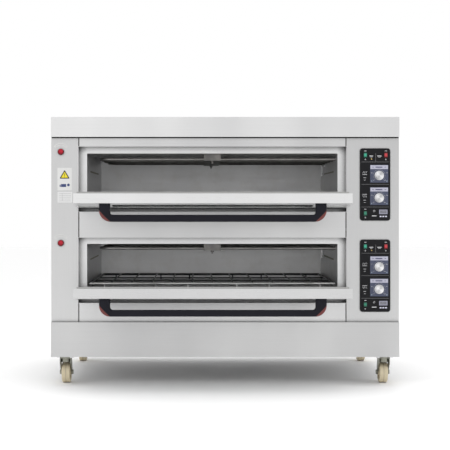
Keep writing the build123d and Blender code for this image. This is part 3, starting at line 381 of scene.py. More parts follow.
# Painted shade: a dark cross on each screw head stands in for the hollow of its recess.
recess_shade = use(tree, recess, First=tuple(screw_low), Half_Step=half_step)["Slot"]
zinc_tone = shader.inputs["Base Color"].links[0].from_socket
tree.links.new(blend_colours(tree, recess_shade, zinc_tone, (0.05, 0.05, 0.05)), shader.inputs["Base Color"])
cover("fasteners", bright_zinc, 0.0002)


# ---- Baking chambers ----
# Each chamber is a plain sheet-steel box, welded at its corners. The steel has dulled in
# patches with heat, and mineral wool is packed round it.

chamber_steel, tree, shader = new_material("chamber_steel", (0.62, 0.62, 0.62), 0.42, 1.0)
grain = use(tree, brushed, Run=(5.0, 5.0, 420.0), Depth=0.12)
tree.links.new(spread(tree, grain["Streaks"], 0.3, 0.7, 0.36, 0.5), shader.inputs["Roughness"])
# Painted sheen: broad bands of lighter and darker tone on the chamber steel.
scuffs_and_sheen = spread(tree, grain["Sheen"], 0.3, 0.7, 0.0, 1.0)
fresh = blend_colours(tree, scuffs_and_sheen, (0.66, 0.66, 0.665), (0.75, 0.75, 0.75))
heated = spread(tree, grain["Smudges"], 0.48, 0.72, 0.0, 0.4)
tree.links.new(blend_colours(tree, heated, fresh, (0.58, 0.565, 0.54)), shader.inputs["Base Color"])
tree.links.new(grain["Normal"], shader.inputs["Normal"])
cover("baking_chambers", chamber_steel)

wool, tree, shader = new_material("mineral_wool", (0.28, 0.25, 0.19), 0.95, 0.0, Sheen_Weight=0.3)
place = shade(tree, "TexCoord").outputs["Object"]
tangled = shade(tree, "TexNoise", {"Vector": place, "Scale": 160.0, "Detail": 8.0, "Roughness": 0.8,
                                   "Distortion": 2.0})
tree.links.new(blend_colours(tree, tangled.outputs[0], (0.20, 0.18, 0.14), (0.36, 0.33, 0.25)),
               shader.inputs["Base Color"])
matted = shade(tree, "Bump", {"Strength": 0.8, "Distance": 0.003, "Height": tangled.outputs[0]})
tree.links.new(matted.outputs[0], shader.inputs["Normal"])
cover("insulation", wool)


# ---- Heating elements and their supports ----
# Hairpin elements in stainless sheaths, above and below the baking space. Use has burnt
# the sheaths to a dull brown grey. A folded hanger carries the upper ones.

sheath, tree, shader = new_material("burnt_sheath", (0.32, 0.31, 0.30), 0.4, 1.0)
grain = use(tree, brushed, Run=(14.0, 200.0, 200.0), Depth=0.1)
oxide = spread(tree, grain["Smudges"], 0.35, 0.65, 0.0, 1.0)
warm = blend_colours(tree, oxide, (0.26, 0.25, 0.24), (0.38, 0.37, 0.36))
burnt = spread(tree, grain["Streaks"], 0.5, 0.8, 0.0, 0.4)
tree.links.new(blend_colours(tree, burnt, warm, (0.18, 0.16, 0.16)), shader.inputs["Base Color"])
tree.links.new(grain["Normal"], shader.inputs["Normal"])
cover("heating_elements", sheath)

hanger_steel, tree, shader = new_material("hanger_steel", (0.16, 0.16, 0.16), 0.5, 0.9)
grain = use(tree, brushed, Run=(60.0, 4.0, 60.0), Depth=0.1)
oxide = spread(tree, grain["Smudges"], 0.35, 0.65, 0.0, 1.0)
tree.links.new(blend_colours(tree, oxide, (0.12, 0.12, 0.12), (0.22, 0.21, 0.20)),
               shader.inputs["Base Color"])
tree.links.new(grain["Normal"], shader.inputs["Normal"])
cover("heater_supports", hanger_steel, 0.0003)
cover("temperature_probes", bright_zinc, 0.0002)


# ---- Floor plates and racks ----
# A plain sheet-steel sole plate lies over the lower elements. On it stands a welded wire
# rack in black enamel. Along its front rod, where trays slide in, chipped patches show
# unpainted bright metal: partly wear, partly a painted highlight.

sole_sheet, tree, shader = new_material("sole_sheet", (0.70, 0.70, 0.70), 0.5, 0.9)
grain = use(tree, brushed, Run=(4.0, 60.0, 60.0), Depth=0.1)
scoured = spread(tree, grain["Smudges"], 0.35, 0.65, 0.0, 1.0)
tree.links.new(blend_colours(tree, scoured, (0.62, 0.62, 0.63), (0.78, 0.775, 0.77)),
               shader.inputs["Base Color"])
tree.links.new(spread(tree, grain["Streaks"], 0.3, 0.7, 0.30, 0.42), shader.inputs["Roughness"])
tree.links.new(grain["Normal"], shader.inputs["Normal"])
cover("floor_plates", sole_sheet)

rack_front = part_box("baking_racks")[0].y
enamel, tree, shader = new_material("black_enamel", (0.02, 0.02, 0.02), 0.4)
skin = use(tree, moulded, Grain=300.0, Depth=0.2)
place = shade(tree, "SeparateXYZ", {0: shade(tree, "TexCoord").outputs["Object"]})
# Painted highlight, partly wear: light metallic patches along the front rod only.
near_front = spread(tree, place.outputs["Y"], rack_front + 0.005, rack_front + 0.009, 1.0, 0.0)
chips = spread(tree, skin["Patches"], 0.25, 0.55, 0.35, 1.0)
bare_and_highlit = shade(tree, "Math", {0: near_front, 1: chips}, operation="MULTIPLY")
tree.links.new(blend_colours(tree, bare_and_highlit.outputs[0], (0.018, 0.018, 0.02), (0.62, 0.62, 0.61)),
               shader.inputs["Base Color"])
tree.links.new(bare_and_highlit.outputs[0], shader.inputs["Metallic"])
tree.links.new(spread(tree, skin["Tone"], 0.3, 0.7, 0.32, 0.46), shader.inputs["Roughness"])
tree.links.new(skin["Normal"], shader.inputs["Normal"])
cover("baking_racks", enamel)


# ---- Door gaskets ----
# A ring of pale grey silicone is bonded to the liner of each door. When the door is shut, the
# ring presses on the frame round the chamber's mouth.

silicone, tree, shader = new_material("silicone_seal", (0.35, 0.35, 0.345), 0.75)
skin = use(tree, moulded, Grain=700.0, Depth=0.5)
tree.links.new(blend_colours(tree, skin["Tone"], (0.30, 0.30, 0.295), (0.40, 0.40, 0.39)),
               shader.inputs["Base Color"])
tree.links.new(skin["Normal"], shader.inputs["Normal"])
for level in ("upper", "lower"):
    cover(f"{level}_door_gasket", silicone, 0.0006)


# ---- Doors ----
# Drop-down doors: an outer skin and an inner liner of polished stainless, two toughened
# panes held in a channel between them, and a bronze bearing block in each end.

# The same steel on both doors, but the lower door gets a darker tone: painted shade. The liners follow
# their door's tone.
door_tones = {"upper": 0.75, "lower": 0.64}

bronze, tree, shader = new_material("sintered_bronze", (0.60, 0.42, 0.20), 0.45, 1.0)
skin = use(tree, moulded, Grain=1200.0, Depth=0.4)
tree.links.new(blend_colours(tree, skin["Tone"], (0.42, 0.29, 0.13), (0.68, 0.50, 0.26)),
               shader.inputs["Base Color"])
tree.links.new(skin["Normal"], shader.inputs["Normal"])

pane_glass, tree, shader = new_material("toughened_glass", (0.86, 0.92, 0.90), 0.04, 0.0,
                                        Transmission_Weight=1.0, IOR=1.45)
skin = use(tree, moulded, Grain=40.0, Depth=0.02)
tree.links.new(spread(tree, skin["Patches"], 0.45, 0.75, 0.02, 0.09), shader.inputs["Roughness"])

for level, tone in door_tones.items():
    door_steel = satin_steel(f"{level}_door_steel", tone, roughness=0.3, sheen=0.02)
    liner_steel = satin_steel(f"{level}_liner_steel", tone * 0.9, roughness=0.3, sheen=0.03)
    cover(f"{level}_door_shell", door_steel, 0.0006)
    cover(f"{level}_door_liner", liner_steel, 0.0004)
    cover(f"{level}_door_glass", pane_glass)
    cover(f"{level}_door_bearings", bronze, 0.0005)


# ---- Door handles ----
# A bowed grip moulded in black nylon, with a dark red crescent let into each outer bend.
# Both have a semi-gloss skin, polished where hands hold them.

grip_black, tree, shader = new_material("grip_black", (0.010, 0.010, 0.015), 0.4,
                                        Specular_IOR_Level=0.16)
skin = use(tree, moulded, Grain=800.0, Depth=0.25)
tree.links.new(blend_colours(tree, skin["Patches"], (0.004, 0.004, 0.007), (0.009, 0.009, 0.015)),
               shader.inputs["Base Color"])
tree.links.new(spread(tree, skin["Patches"], 0.3, 0.7, 0.34, 0.46), shader.inputs["Roughness"])
tree.links.new(skin["Normal"], shader.inputs["Normal"])

trim_red, tree, shader = new_material("trim_red", (0.22, 0.02, 0.012), 0.32, 0.0, Coat_Weight=0.3)
skin = use(tree, moulded, Grain=800.0, Depth=0.15)
tree.links.new(blend_colours(tree, skin["Patches"], (0.09, 0.008, 0.006), (0.15, 0.016, 0.011)),
               shader.inputs["Base Color"])
tree.links.new(skin["Normal"], shader.inputs["Normal"])
for level in ("upper", "lower"):
    cover(f"{level}_handle", grip_black)
    cover(f"{level}_handle_trims", trim_red)


# ---- Push-buttons and rocker switches ----
# A glossy red mushroom head in a black bezel at the left of each deck. Each control panel has
# snap-in rockers with translucent caps, lit from inside: green for on, red for stop.

switch_black, tree, shader = new_material("switch_black", (0.010, 0.010, 0.011), 0.4,
                                          Specular_IOR_Level=0.16)
skin = use(tree, moulded, Grain=1000.0, Depth=0.3)
tree.links.new(blend_colours(tree, skin["Tone"], (0.007, 0.007, 0.008), (0.015, 0.015, 0.016)),
               shader.inputs["Base Color"])
tree.links.new(skin["Normal"], shader.inputs["Normal"])
cover("switch_housings", switch_black, 0.0004)


def lit_cap(name, colour, glow, strength, cap_node):
    """Translucent rocker cap, brightest over the lamp behind its middle."""
    made, tree, shader = new_material(name, colour, 0.22, 0.0, Coat_Weight=0.5)
    low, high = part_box(cap_node)
    middle = (low + high) / 2
    place = shade(tree, "TexCoord").outputs["Object"]
    away = shade(tree, "VectorMath", {0: place, 1: middle}, operation="DISTANCE")
    lamp = spread(tree, away.outputs["Value"], 0.002, 0.0085, 1.0, 0.0)
    skin = use(tree, moulded, Grain=600.0, Depth=0.1)
    dim_cap = [c * 0.45 for c in colour]
    dim_glow = [c * 0.12 for c in glow]
    tree.links.new(blend_colours(tree, lamp, dim_cap, colour), shader.inputs["Base Color"])
    tree.links.new(blend_colours(tree, lamp, dim_glow, glow), shader.inputs["Emission Color"])
    shader.inputs["Emission Strength"].default_value = strength
    tree.links.new(skin["Normal"], shader.inputs["Normal"])
    return made


cap_finishes = {
    "power": ((0.0, 0.14, 0.09), (0.04, 0.80, 0.50), 0.6),
    "stop": ((0.30, 0.005, 0.012), (1.0, 0.05, 0.07), 0.6),
    "timer": ((0.0, 0.10, 0.06), (0.02, 0.50, 0.28), 0.45),
}

red_gloss, tree, shader = new_material("button_red", (0.40, 0.006, 0.02), 0.2, 0.0, Specular_IOR_Level=0.3)
skin = use(tree, moulded, Grain=500.0, Depth=0.06)
tree.links.new(blend_colours(tree, skin["Patches"], (0.38, 0.004, 0.016), (0.50, 0.010, 0.03)),
               shader.inputs["Base Color"])
tree.links.new(spread(tree, skin["Patches"], 0.3, 0.7, 0.12, 0.22), shader.inputs["Roughness"])

# Painted shade and highlight: the dome darkens towards its rim from a centre set a little up and to the
# right.
red_tone = shader.inputs["Base Color"].links[0].from_socket
crown, crown_in, crown_out = effect(
    "painted_dome_shade", {"First": (0.0, 0.0, 0.0), "Second": (0.0, 0.0, 0.0)}, {"Rim": "Float"})
place = shade(crown, "TexCoord").outputs["Object"]
to_first = shade(crown, "VectorMath", {0: place, 1: crown_in["First"]}, operation="DISTANCE")
to_second = shade(crown, "VectorMath", {0: place, 1: crown_in["Second"]}, operation="DISTANCE")
reach = shade(crown, "Math", {0: to_first.outputs["Value"], 1: to_second.outputs["Value"]},
              operation="MINIMUM")
crown.links.new(spread(crown, reach.outputs[0], 0.003, 0.011, 0.0, 1.0), crown_out["Rim"])
tops = {}
for level, name in (("upper", "First"), ("lower", "Second")):
    low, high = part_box(f"{level}_push_button")
    tops[name] = ((low.x + high.x) / 2 + 0.002, low.y, (low.z + high.z) / 2 + 0.003)
rim = use(tree, crown, **tops)["Rim"]
tree.links.new(blend_colours(tree, rim, red_tone, (0.16, 0.001, 0.006)), shader.inputs["Base Color"])

for level in ("upper", "lower"):
    cover(f"{level}_push_button", red_gloss)
    for switch, (colour, glow, strength) in cap_finishes.items():
        cap = f"{level}_{switch}_rocker"
        cover(cap, lit_cap(f"{level}_{switch}_cap", colour, glow, strength, cap), 0.0003)


# ---- Control panels ----
# Black moulded plates with a fine satin skin. Thin grey rules part their rows, and
# small white marks stand beside each switch. The ink is a hair proud of the skin.

panel_black, tree, shader = new_material("panel_black", (0.010, 0.010, 0.011), 0.42,
                                         Specular_IOR_Level=0.12)
skin = use(tree, moulded, Grain=1100.0, Depth=0.3)
tree.links.new(blend_colours(tree, skin["Tone"], (0.007, 0.007, 0.008), (0.014, 0.014, 0.016)),
               shader.inputs["Base Color"])
tree.links.new(spread(tree, skin["Patches"], 0.3, 0.7, 0.36, 0.5), shader.inputs["Roughness"])
tree.links.new(skin["Normal"], shader.inputs["Normal"])
cover("control_panels", panel_black, 0.0004)


def ink(name, colour, glow=0.0):
    """Printed ink, a little uneven where it is thin."""
    made, tree, shader = new_material(name, colour, 0.5)
    skin = use(tree, moulded, Grain=1500.0, Depth=0.1)
    thin_ink = [c * 0.82 for c in colour]
    tree.links.new(blend_colours(tree, skin["Tone"], thin_ink, colour), shader.inputs["Base Color"])
    # A glow, where given, is emission on print that holds no lamp: painted light.
    if glow:
        shader.inputs["Emission Color"].default_value = (*colour, 1.0)
        shader.inputs["Emission Strength"].default_value = glow
    return made


def box_outline(x, z, wide, tall):
    """Corners of an upright rectangle from its middle and size."""
    return [(x - wide / 2, z - tall / 2), (x + wide / 2, z - tall / 2),
            (x + wide / 2, z + tall / 2), (x - wide / 2, z + tall / 2)]


def round_outline(x, z, radius, points=24):
    """Points round a circle."""
    turn = 2 * math.pi / points
    return [(x + radius * math.cos(i * turn), z + radius * math.sin(i * turn)) for i in range(points)]


def arc_outline(x, z, radius, wide, start, end, points=12):
    """A band along an arc, from one angle to another in degrees."""
    steps = [math.radians(start + (end - start) * i / points) for i in range(points + 1)]
    far, near = radius + wide / 2, radius - wide / 2
    outer = [(x + far * math.cos(a), z + far * math.sin(a)) for a in steps]
    inner = [(x + near * math.cos(a), z + near * math.sin(a)) for a in reversed(steps)]
    return outer + inner


def printed(name, outlines, face, material, proud=0.00012, body="cabinet"):
    """Closed flat shapes that stand a little proud of a front face."""
    mesh = bmesh.new()
    for outline in outlines:
        back = [mesh.verts.new((x, face, z)) for x, z in outline]
        front = [mesh.verts.new((x, face - proud, z)) for x, z in outline]
        mesh.faces.new(front)
        mesh.faces.new(list(reversed(back)))
        for i, corner in enumerate(back):
            after = (i + 1) % len(back)
            mesh.faces.new((corner, back[after], front[after], front[i]))
    bmesh.ops.recalc_face_normals(mesh, faces=mesh.faces)
    data = bpy.data.meshes.new(name)
    mesh.to_mesh(data)
    mesh.free()
    data.materials.append(material)
    piece = bpy.data.objects.new(name, data)
    bpy.context.scene.collection.objects.link(piece)
    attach(piece, body)
    return piece


white_ink = ink("white_ink", (0.72, 0.72, 0.74))
grey_ink = ink("grey_ink", (0.30, 0.30, 0.31))
panel_low, panel_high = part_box("control_panels")
panel_face = panel_low.y
panel_left = panel_low.x
panel_tall = 0.253
panel_tops = {"upper": panel_high.z, "lower": panel_low.z + panel_tall}
panel_wide = panel_high.x - panel_low.x
rule = 0.0006
rules_down = (0.0475, 0.126, 0.2055)
upright_rule_x = panel_left + 0.0547
heat_marks_x = panel_left + 0.0165
sounder_x = panel_left + 0.0495
switch_words = ((0.0395, 0.013), (0.0680, 0.015))


def middle_of(node):
    """X and Z of the middle of a part."""
    low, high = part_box(node)
    return (low.x + high.x) / 2, (low.z + high.z) / 2


for level, top in panel_tops.items():
    rules = [box_outline(panel_left + panel_wide / 2, top - down, panel_wide - 0.010, rule)
             for down in rules_down]
    rules.append(box_outline(upright_rule_x, top - 0.0315, rule, 0.028))
    printed(f"{level}_panel_rules", rules, panel_face, grey_ink)
    marks = []
    for switch in ("power", "stop", "timer"):
        x, z = middle_of(f"{level}_{switch}_rocker")
        marks.append(box_outline(x, z + 0.0145, 0.0075, 0.0016))
        marks.append(arc_outline(x, z - 0.0150, 0.0018, 0.0009, 0, 359, 20)[:-1])
    for right, wide in switch_words:
        marks.append(box_outline(panel_left + right, top - 0.0265, wide, 0.0022))
        marks.append(box_outline(panel_left + right, top - 0.0305, wide * 0.6, 0.0010))
    heats = {"top": 1, "bottom": -1}
    for heat, way in heats.items():
        x = heat_marks_x
        z = middle_of(f"{level}_{heat}_heat_knob")[1] + 0.008
        marks.append(box_outline(x, z - 0.0045 * way, 0.016, 0.0012))
        for step in (-0.0055, 0.0, 0.0055):
            marks.append(arc_outline(x + step, z + 0.001 * way, 0.0018, 0.0007, 100, 260, 6))
            marks.append(arc_outline(x + step, z + 0.0045 * way, 0.0018, 0.0007, -80, 80, 6))
        marks.append(box_outline(x, z - 0.016, 0.009, 0.0012))
        marks.append(box_outline(x, z - 0.024, 0.006, 0.0010))
    marks.append(box_outline(sounder_x, top - 0.2365, 0.016, 0.0024))
    marks.append(arc_outline(sounder_x, top - 0.2195, 0.0028, 0.0008, 0, 359, 20)[:-1])
    marks.append(box_outline(sounder_x, top - 0.2185, 0.0007, 0.0022))
    printed(f"{level}_panel_marks", marks, panel_face, white_ink)


# ---- Signal lamp ----
# A small pilot lamp between the first two rows of marks: an amber moulded dome with a
# rim, pressed into the panel.

lamp_amber, tree, shader = new_material("lamp_amber", (0.55, 0.38, 0.10), 0.2, 0.0, Coat_Weight=0.5)
skin = use(tree, moulded, Grain=900.0, Depth=0.1)
tree.links.new(blend_colours(tree, skin["Tone"], (0.42, 0.30, 0.09), (0.66, 0.48, 0.16)),
               shader.inputs["Base Color"])
tree.links.new(skin["Normal"], shader.inputs["Normal"])


def turned(name, profile, place, material, body="cabinet", points=32):
    """A lathe-turned piece facing forwards: profile gives radius and how far it stands out."""
    mesh = bmesh.new()
    rings = []
    for radius, out in profile:
        if radius:
            spots = round_outline(place[0], place[2], radius, points)
            rings.append([mesh.verts.new((x, place[1] - out, z)) for x, z in spots])
        else:
            rings.append([mesh.verts.new((place[0], place[1] - out, place[2]))])
    for near, far in zip(rings, rings[1:]):
        for i in range(points):
            after = (i + 1) % points
            corners = [near[i % len(near)], near[after % len(near)],
                       far[after % len(far)], far[i % len(far)]]
            mesh.faces.new(list(dict.fromkeys(corners)))
    bmesh.ops.recalc_face_normals(mesh, faces=mesh.faces)
    for face in mesh.faces:
        face.smooth = True
    data = bpy.data.meshes.new(name)
    mesh.to_mesh(data)
    mesh.free()
    data.materials.append(material)
    piece = bpy.data.objects.new(name, data)
    bpy.context.scene.collection.objects.link(piece)
    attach(piece, body)
    return piece


dome = [(0.0, 0.0), (0.0022, 0.0), (0.0022, 0.0006), (0.0017, 0.0008), (0.0015, 0.0014),
        (0.0009, 0.0018), (0.0, 0.0020)]
for level, top in panel_tops.items():
    lamp_place = (panel_left + 0.0404, panel_face, top - 0.0372)
    turned(f"{level}_pilot_lamp", dome, lamp_place, lamp_amber)


# ---- Temperature controllers ----
# Each regulator has a printed aluminium plate: a pale title band over a slate field with
# a dial scale from 0 to 400, and a lamp in each lower corner. The knob is turned.

slate, tree, shader = new_material("slate_plate", (0.075, 0.085, 0.13), 0.4, 0.2, Specular_IOR_Level=0.25)
grain = use(tree, brushed, Run=(900.0, 900.0, 3.0), Depth=0.08)
drawn_lines = spread(tree, grain["Streaks"], 0.3, 0.7, 0.0, 1.0)
tree.links.new(blend_colours(tree, drawn_lines, (0.060, 0.068, 0.110), (0.090, 0.100, 0.150)),
               shader.inputs["Base Color"])
tree.links.new(spread(tree, grain["Smudges"], 0.3, 0.7, 0.34, 0.48), shader.inputs["Roughness"])
tree.links.new(grain["Normal"], shader.inputs["Normal"])
cover("temperature_controllers", slate, 0.0003)

turning, turning_in, turning_out = effect(
    "turned_rings_and_painted_fans", {"Centre": (0.0, 0.0, 0.0), "Lean": 0.6}, {"Fan": "Float", "Rings": "Float"})
place = shade(turning, "TexCoord").outputs["Object"]
offset = shade(turning, "VectorMath", {0: place, 1: turning_in["Centre"]}, operation="SUBTRACT")
parts = shade(turning, "SeparateXYZ", {0: offset.outputs[0]})
angle = shade(turning, "Math", {0: parts.outputs["Z"], 1: parts.outputs["X"]}, operation="ARCTAN2")
leaning = shade(turning, "Math", {0: angle.outputs[0], 1: turning_in["Lean"]}, operation="ADD")
twice = shade(turning, "Math", {0: leaning.outputs[0], 1: 2.0}, operation="MULTIPLY")
waved = shade(turning, "Math", {0: twice.outputs[0]}, operation="COSINE")
# Fan is a painted highlight: two bright fans across the face, from the angle round the centre.
turning.links.new(spread(turning, waved.outputs[0], -1.0, 1.0, 0.0, 1.0), turning_out["Fan"])
flat = shade(turning, "CombineXYZ", {"X": parts.outputs["X"], "Z": parts.outputs["Z"]})
radius = shade(turning, "VectorMath", {0: flat.outputs[0]}, operation="LENGTH")
turned_lines = shade(turning, "TexNoise", {"W": radius.outputs["Value"], "Scale": 2600.0, "Detail": 2.0},
                     noise_dimensions="1D")
turning.links.new(turned_lines.outputs[0], turning_out["Rings"])


def spun_aluminium(name, centre):
    """Turned aluminium with fine rings, two painted highlight fans across the face and a painted highlight
    on its edges.
    """
    made, tree, shader = new_material(name, (0.60, 0.60, 0.61), 0.3, 1.0)
    marks = use(tree, turning, Centre=centre)
    edge = use(tree, worn_lit_edges, Width=0.0006, Contrast=4.0)["Edge"]
    ringed = blend_colours(tree, marks["Rings"], (0.42, 0.42, 0.43), (0.56, 0.56, 0.57))
    # Painted highlight on the fans and on the edges.
    fan_highlit = blend_colours(tree, marks["Fan"], ringed, (0.80, 0.80, 0.81))
    tree.links.new(blend_colours(tree, edge, fan_highlit, (0.90, 0.90, 0.90)), shader.inputs["Base Color"])
    tree.links.new(spread(tree, marks["Rings"], 0.3, 0.7, 0.24, 0.38), shader.inputs["Roughness"])
    return made


lilac_ink = ink("lilac_ink", (0.46, 0.46, 0.56))
navy_ink = ink("navy_ink", (0.05, 0.05, 0.13))
lamp_pale = ink("lamp_pale", (0.26, 0.32, 0.40))
plate_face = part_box("temperature_controllers")[0].y
plate_wide = 0.0635
plate_tall = 0.062
band_tall = 0.0135
scale_radius = 0.0195
scale_start = 225.0
scale_sweep = 270.0
tick_wide = 0.00044
tick_long = 0.0016
numerals_out = scale_radius + 0.0062
numeral_tall = 0.0034
dial_lamp_aside = 0.0265
dial_lamp_down = 0.0195
band_ink = 0.00008


ink_half_depth = 0.00004


def numeral(name, text, x, z, tall, face, material):
    """A printed number, upright and centred on its place."""
    curve = bpy.data.curves.new(name, "FONT")
    curve.body = text
    curve.size = tall
    curve.extrude = ink_half_depth
    curve.align_x = "CENTER"
    curve.align_y = "CENTER"
    typed = bpy.data.objects.new(name + "_type", curve)
    bpy.context.scene.collection.objects.link(typed)
    bpy.context.view_layer.update()
    data = bpy.data.meshes.new_from_object(typed.evaluated_get(bpy.context.evaluated_depsgraph_get()))
    bpy.data.objects.remove(typed)
    for corner in data.vertices:
        across, up, out = corner.co
        corner.co = (x + across, face - ink_half_depth - out, z + up)
    data.name = name
    data.materials.clear()
    data.materials.append(material)
    piece = bpy.data.objects.new(name, data)
    bpy.context.scene.collection.objects.link(piece)
    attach(piece, "cabinet")
    return piece


for level in ("upper", "lower"):
    for heat in ("top", "bottom"):
        knob_node = f"{level}_{heat}_heat_knob"
        knob_low, knob_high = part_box(knob_node)
        knob_centre = tuple((knob_low + knob_high) / 2)
        cover(knob_node, spun_aluminium(f"{level}_{heat}_spun_aluminium", knob_centre), 0.0003)
        x, knob_z = middle_of(knob_node)
        z = knob_z + 0.006
        band_z = z + plate_tall / 2 - band_tall / 2 - 0.001
        printed(f"{level}_{heat}_title_band", [box_outline(x, band_z, plate_wide - 0.002, band_tall)],
                plate_face, lilac_ink, band_ink)
        printed(f"{level}_{heat}_title_marks",
                [box_outline(x - 0.001, band_z, 0.024, 0.0034),
                 box_outline(x - 0.0215, band_z, 0.006, 0.0016),
                 box_outline(x + 0.0215, band_z, 0.006, 0.0016)],
                plate_face - band_ink, navy_ink, 0.00005)
        ticks = []
        for i in range(41):
            angle = math.radians(scale_start - scale_sweep * i / 40)
            long = 2 * tick_long if i % 10 == 0 else tick_long
            across = Vector((-math.sin(angle), math.cos(angle))) * tick_wide / 2
            near = Vector((math.cos(angle), math.sin(angle))) * scale_radius
            far = Vector((math.cos(angle), math.sin(angle))) * (scale_radius + long)
            spots = (near - across, far - across, far + across, near + across)
            ticks.append([(x + p.x, knob_z + p.y) for p in spots])
        printed(f"{level}_{heat}_dial_scale", ticks, plate_face, white_ink, 0.00006)
        for i in range(5):
            angle = math.radians(scale_start - scale_sweep * i / 4)
            across = numerals_out * 1.12 * math.cos(angle)
            up = 0.93 * numerals_out * math.sin(angle)
            numeral(f"{level}_{heat}_dial_{100 * i}", str(100 * i), x + across, knob_z + up,
                    numeral_tall, plate_face, white_ink)
        for way in (-1, 1):
            name = f"{level}_{heat}_{'left' if way < 0 else 'right'}_dial_lamp"
            lamp_place = (x + way * dial_lamp_aside, plate_face, knob_z - dial_lamp_down)
            turned(name, dome, lamp_place, lamp_pale)


# ---- Timer ----
# A small grey-lilac liquid crystal display over three pale film keys, in a moulded
# surround. Its bar digits stand at zero.

timer_grey, tree, shader = new_material("timer_face", (0.30, 0.30, 0.38), 0.38)
skin = use(tree, moulded, Grain=900.0, Depth=0.15)
tree.links.new(blend_colours(tree, skin["Patches"], (0.24, 0.24, 0.32), (0.34, 0.34, 0.43)),
               shader.inputs["Base Color"])
tree.links.new(skin["Normal"], shader.inputs["Normal"])
cover("timer_modules", timer_grey, 0.0002)

crystal_screen, tree, shader = new_material("crystal_screen", (0.20, 0.20, 0.24), 0.12,
                                            Coat_Weight=0.8)
skin = use(tree, moulded, Grain=120.0, Depth=0.02)
tree.links.new(blend_colours(tree, skin["Patches"], (0.17, 0.17, 0.21), (0.24, 0.24, 0.28)),
               shader.inputs["Base Color"])
digit_ink = ink("digit_ink", (0.02, 0.02, 0.03))
# The key faces glow faintly, though no lamp is behind them: painted light.
key_white_glow = ink("key_white_glow", (0.62, 0.62, 0.74), glow=0.12)

screen_wide = 0.0292
screen_tall = 0.0156
key_size = (0.0062, 0.0037)
key_pitch = 0.0095
key_drop = 0.016
screen_down = 0.2225
digits_across = (-0.0085, -0.0035, 0.0035, 0.0085)
timer_x = panel_left + 0.0815
screen_out = 0.0006
key_out = 0.0010
segment_long = 0.0036
segment_wide = 0.0007
zero_segments = [(0.0, 1.0, True), (0.0, -1.0, True), (-0.5, 0.5, False), (0.5, 0.5, False),
                 (-0.5, -0.5, False), (0.5, -0.5, False)]

for level, top in panel_tops.items():
    z = top - screen_down
    screen_face = panel_face - screen_out
    printed(f"{level}_timer_screen", [box_outline(timer_x, z, screen_wide - 0.005, screen_tall - 0.0045)],
            screen_face, crystal_screen, 0.0001)
    bars = []
    for place in digits_across:
        for across, up, level_bar in zero_segments:
            size = (segment_long * 0.8, segment_wide) if level_bar else (segment_wide, segment_long * 0.8)
            bar_x = timer_x + place + across * segment_long
            bars.append(box_outline(bar_x, z + up * segment_long, *size))
    bars += [box_outline(timer_x, z + up, segment_wide, segment_wide) for up in (-0.0015, 0.0015)]
    printed(f"{level}_timer_digits", bars, screen_face - 0.0001, digit_ink, 0.00004)
    keys = [box_outline(timer_x + step * key_pitch, z - key_drop, *key_size) for step in (-1, 0, 1)]
    printed(f"{level}_timer_key_faces", keys, panel_face - key_out, key_white_glow, 0.00008)


# ---- Contactors and cable gland ----
# Moulded contactors clip to a steel rail behind the right-hand side sheet. The nylon
# gland low on the back grips the supply cable.

case_ivory, tree, shader = new_material("contactor_case", (0.62, 0.62, 0.58), 0.45)
skin = use(tree, moulded, Grain=700.0, Depth=0.3)
tree.links.new(blend_colours(tree, skin["Patches"], (0.56, 0.56, 0.52), (0.68, 0.68, 0.64)),
               shader.inputs["Base Color"])
tree.links.new(skin["Normal"], shader.inputs["Normal"])
cover("contactors", case_ivory, 0.001)

gland_black, tree, shader = new_material("gland_nylon", (0.02, 0.02, 0.021), 0.48)
skin = use(tree, moulded, Grain=600.0, Depth=0.4)
edge = use(tree, worn_lit_edges, Width=0.0008, Contrast=4.0)["Edge"]
# Edges painted lighter: a painted highlight, partly scuffing.
tree.links.new(blend_colours(tree, edge, (0.02, 0.02, 0.021), (0.075, 0.075, 0.078)),
               shader.inputs["Base Color"])
tree.links.new(skin["Normal"], shader.inputs["Normal"])
cover("cable_gland", gland_black, 0.0004)


# ---- Signs on the left sheet ----
# A white film label with a plain yellow caution triangle and a blue mark, and below it a
# thin silver data plate with engraved rules in place of words. A curved band of film
# sits over each push-button.

film_white = ink("film_white", (0.72, 0.72, 0.71))
sign_yellow = ink("sign_yellow", (0.84, 0.70, 0.02))
sign_black = ink("sign_black", (0.015, 0.015, 0.015))
sign_blue = ink("sign_blue", (0.03, 0.05, 0.16))
plate_silver = satin_steel("plate_silver", 0.70, roughness=0.32, edge_width=0.0003)
sheet_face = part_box("left_front_panel")[0].y
film = 0.0001
sign_ink = 0.00005
metal = 0.0003


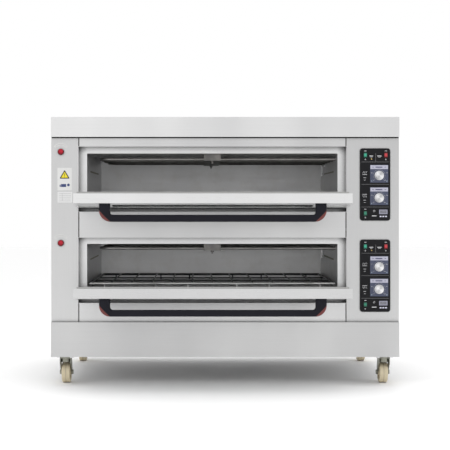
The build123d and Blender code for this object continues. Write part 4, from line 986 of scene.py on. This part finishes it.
def triangle_outline(x, z, side, corner):
    """An upright triangle with rounded corners."""
    inner = (side - 2 * math.sqrt(3) * corner) / math.sqrt(3)
    spots = []
    for i in range(3):
        out = math.radians(90 + 120 * i)
        centre = (x + inner * math.cos(out), z + inner * math.sin(out))
        for step in (-60, -30, 0, 30, 60):
            turn = out + math.radians(step)
            spots.append((centre[0] + corner * math.cos(turn), centre[1] + corner * math.sin(turn)))
    return spots


label_x = -0.5632
label_z = 0.7250
printed("caution_label", [box_outline(label_x, label_z, 0.0505, 0.079)],
        sheet_face, film_white, film)
sign_z = label_z + 0.012
printed("caution_triangle_edge", [triangle_outline(label_x, sign_z, 0.036, 0.0020)],
        sheet_face - film, sign_black, sign_ink)
printed("caution_triangle", [triangle_outline(label_x, sign_z, 0.0245, 0.0012)],
        sheet_face - film - sign_ink, sign_yellow, sign_ink)
printed("caution_mark",
        [[(label_x - 0.0012, sign_z + 0.0075), (label_x - 0.0007, sign_z - 0.0012),
          (label_x + 0.0007, sign_z - 0.0012), (label_x + 0.0012, sign_z + 0.0075)],
         round_outline(label_x, sign_z - 0.0040, 0.0012, 16)],
        sheet_face - film - 2 * sign_ink, sign_black, sign_ink)
printed("label_blue_mark",
        [box_outline(label_x - 0.0035, label_z - 0.0225, 0.018, 0.0105),
         box_outline(label_x - 0.0155, label_z - 0.0235, 0.0035, 0.0075),
         round_outline(label_x + 0.0135, label_z - 0.0205, 0.0048, 20)],
        sheet_face - film, sign_blue, sign_ink)

plate_z = 0.6615
plate_x = label_x + 0.001
printed("data_plate", [box_outline(plate_x, plate_z, 0.052, 0.038)],
        sheet_face, plate_silver, metal)
lines = [box_outline(plate_x, plate_z + 0.0065 * row, 0.042, 0.0007) for row in (2, 1, 0, -1, -2)]
lines.append(box_outline(label_x - 0.008, plate_z, 0.0006, 0.026))
printed("data_plate_rules", lines, sheet_face - metal, grey_ink, sign_ink)

band_radius = 0.0270
band_film = 0.00008
for level in ("upper", "lower"):
    x, z = middle_of(f"{level}_push_button")
    arcs = [arc_outline(x, z, band_radius, 0.0075, 38, 142, 24)]
    printed(f"{level}_button_marks", arcs, sheet_face, film_white, band_film)
    letters = [arc_outline(x, z, band_radius, 0.0030, start, start + 3, 3) for start in range(46, 134, 7)]
    printed(f"{level}_button_letters", letters, sheet_face - band_film, grey_ink, 0.00004)
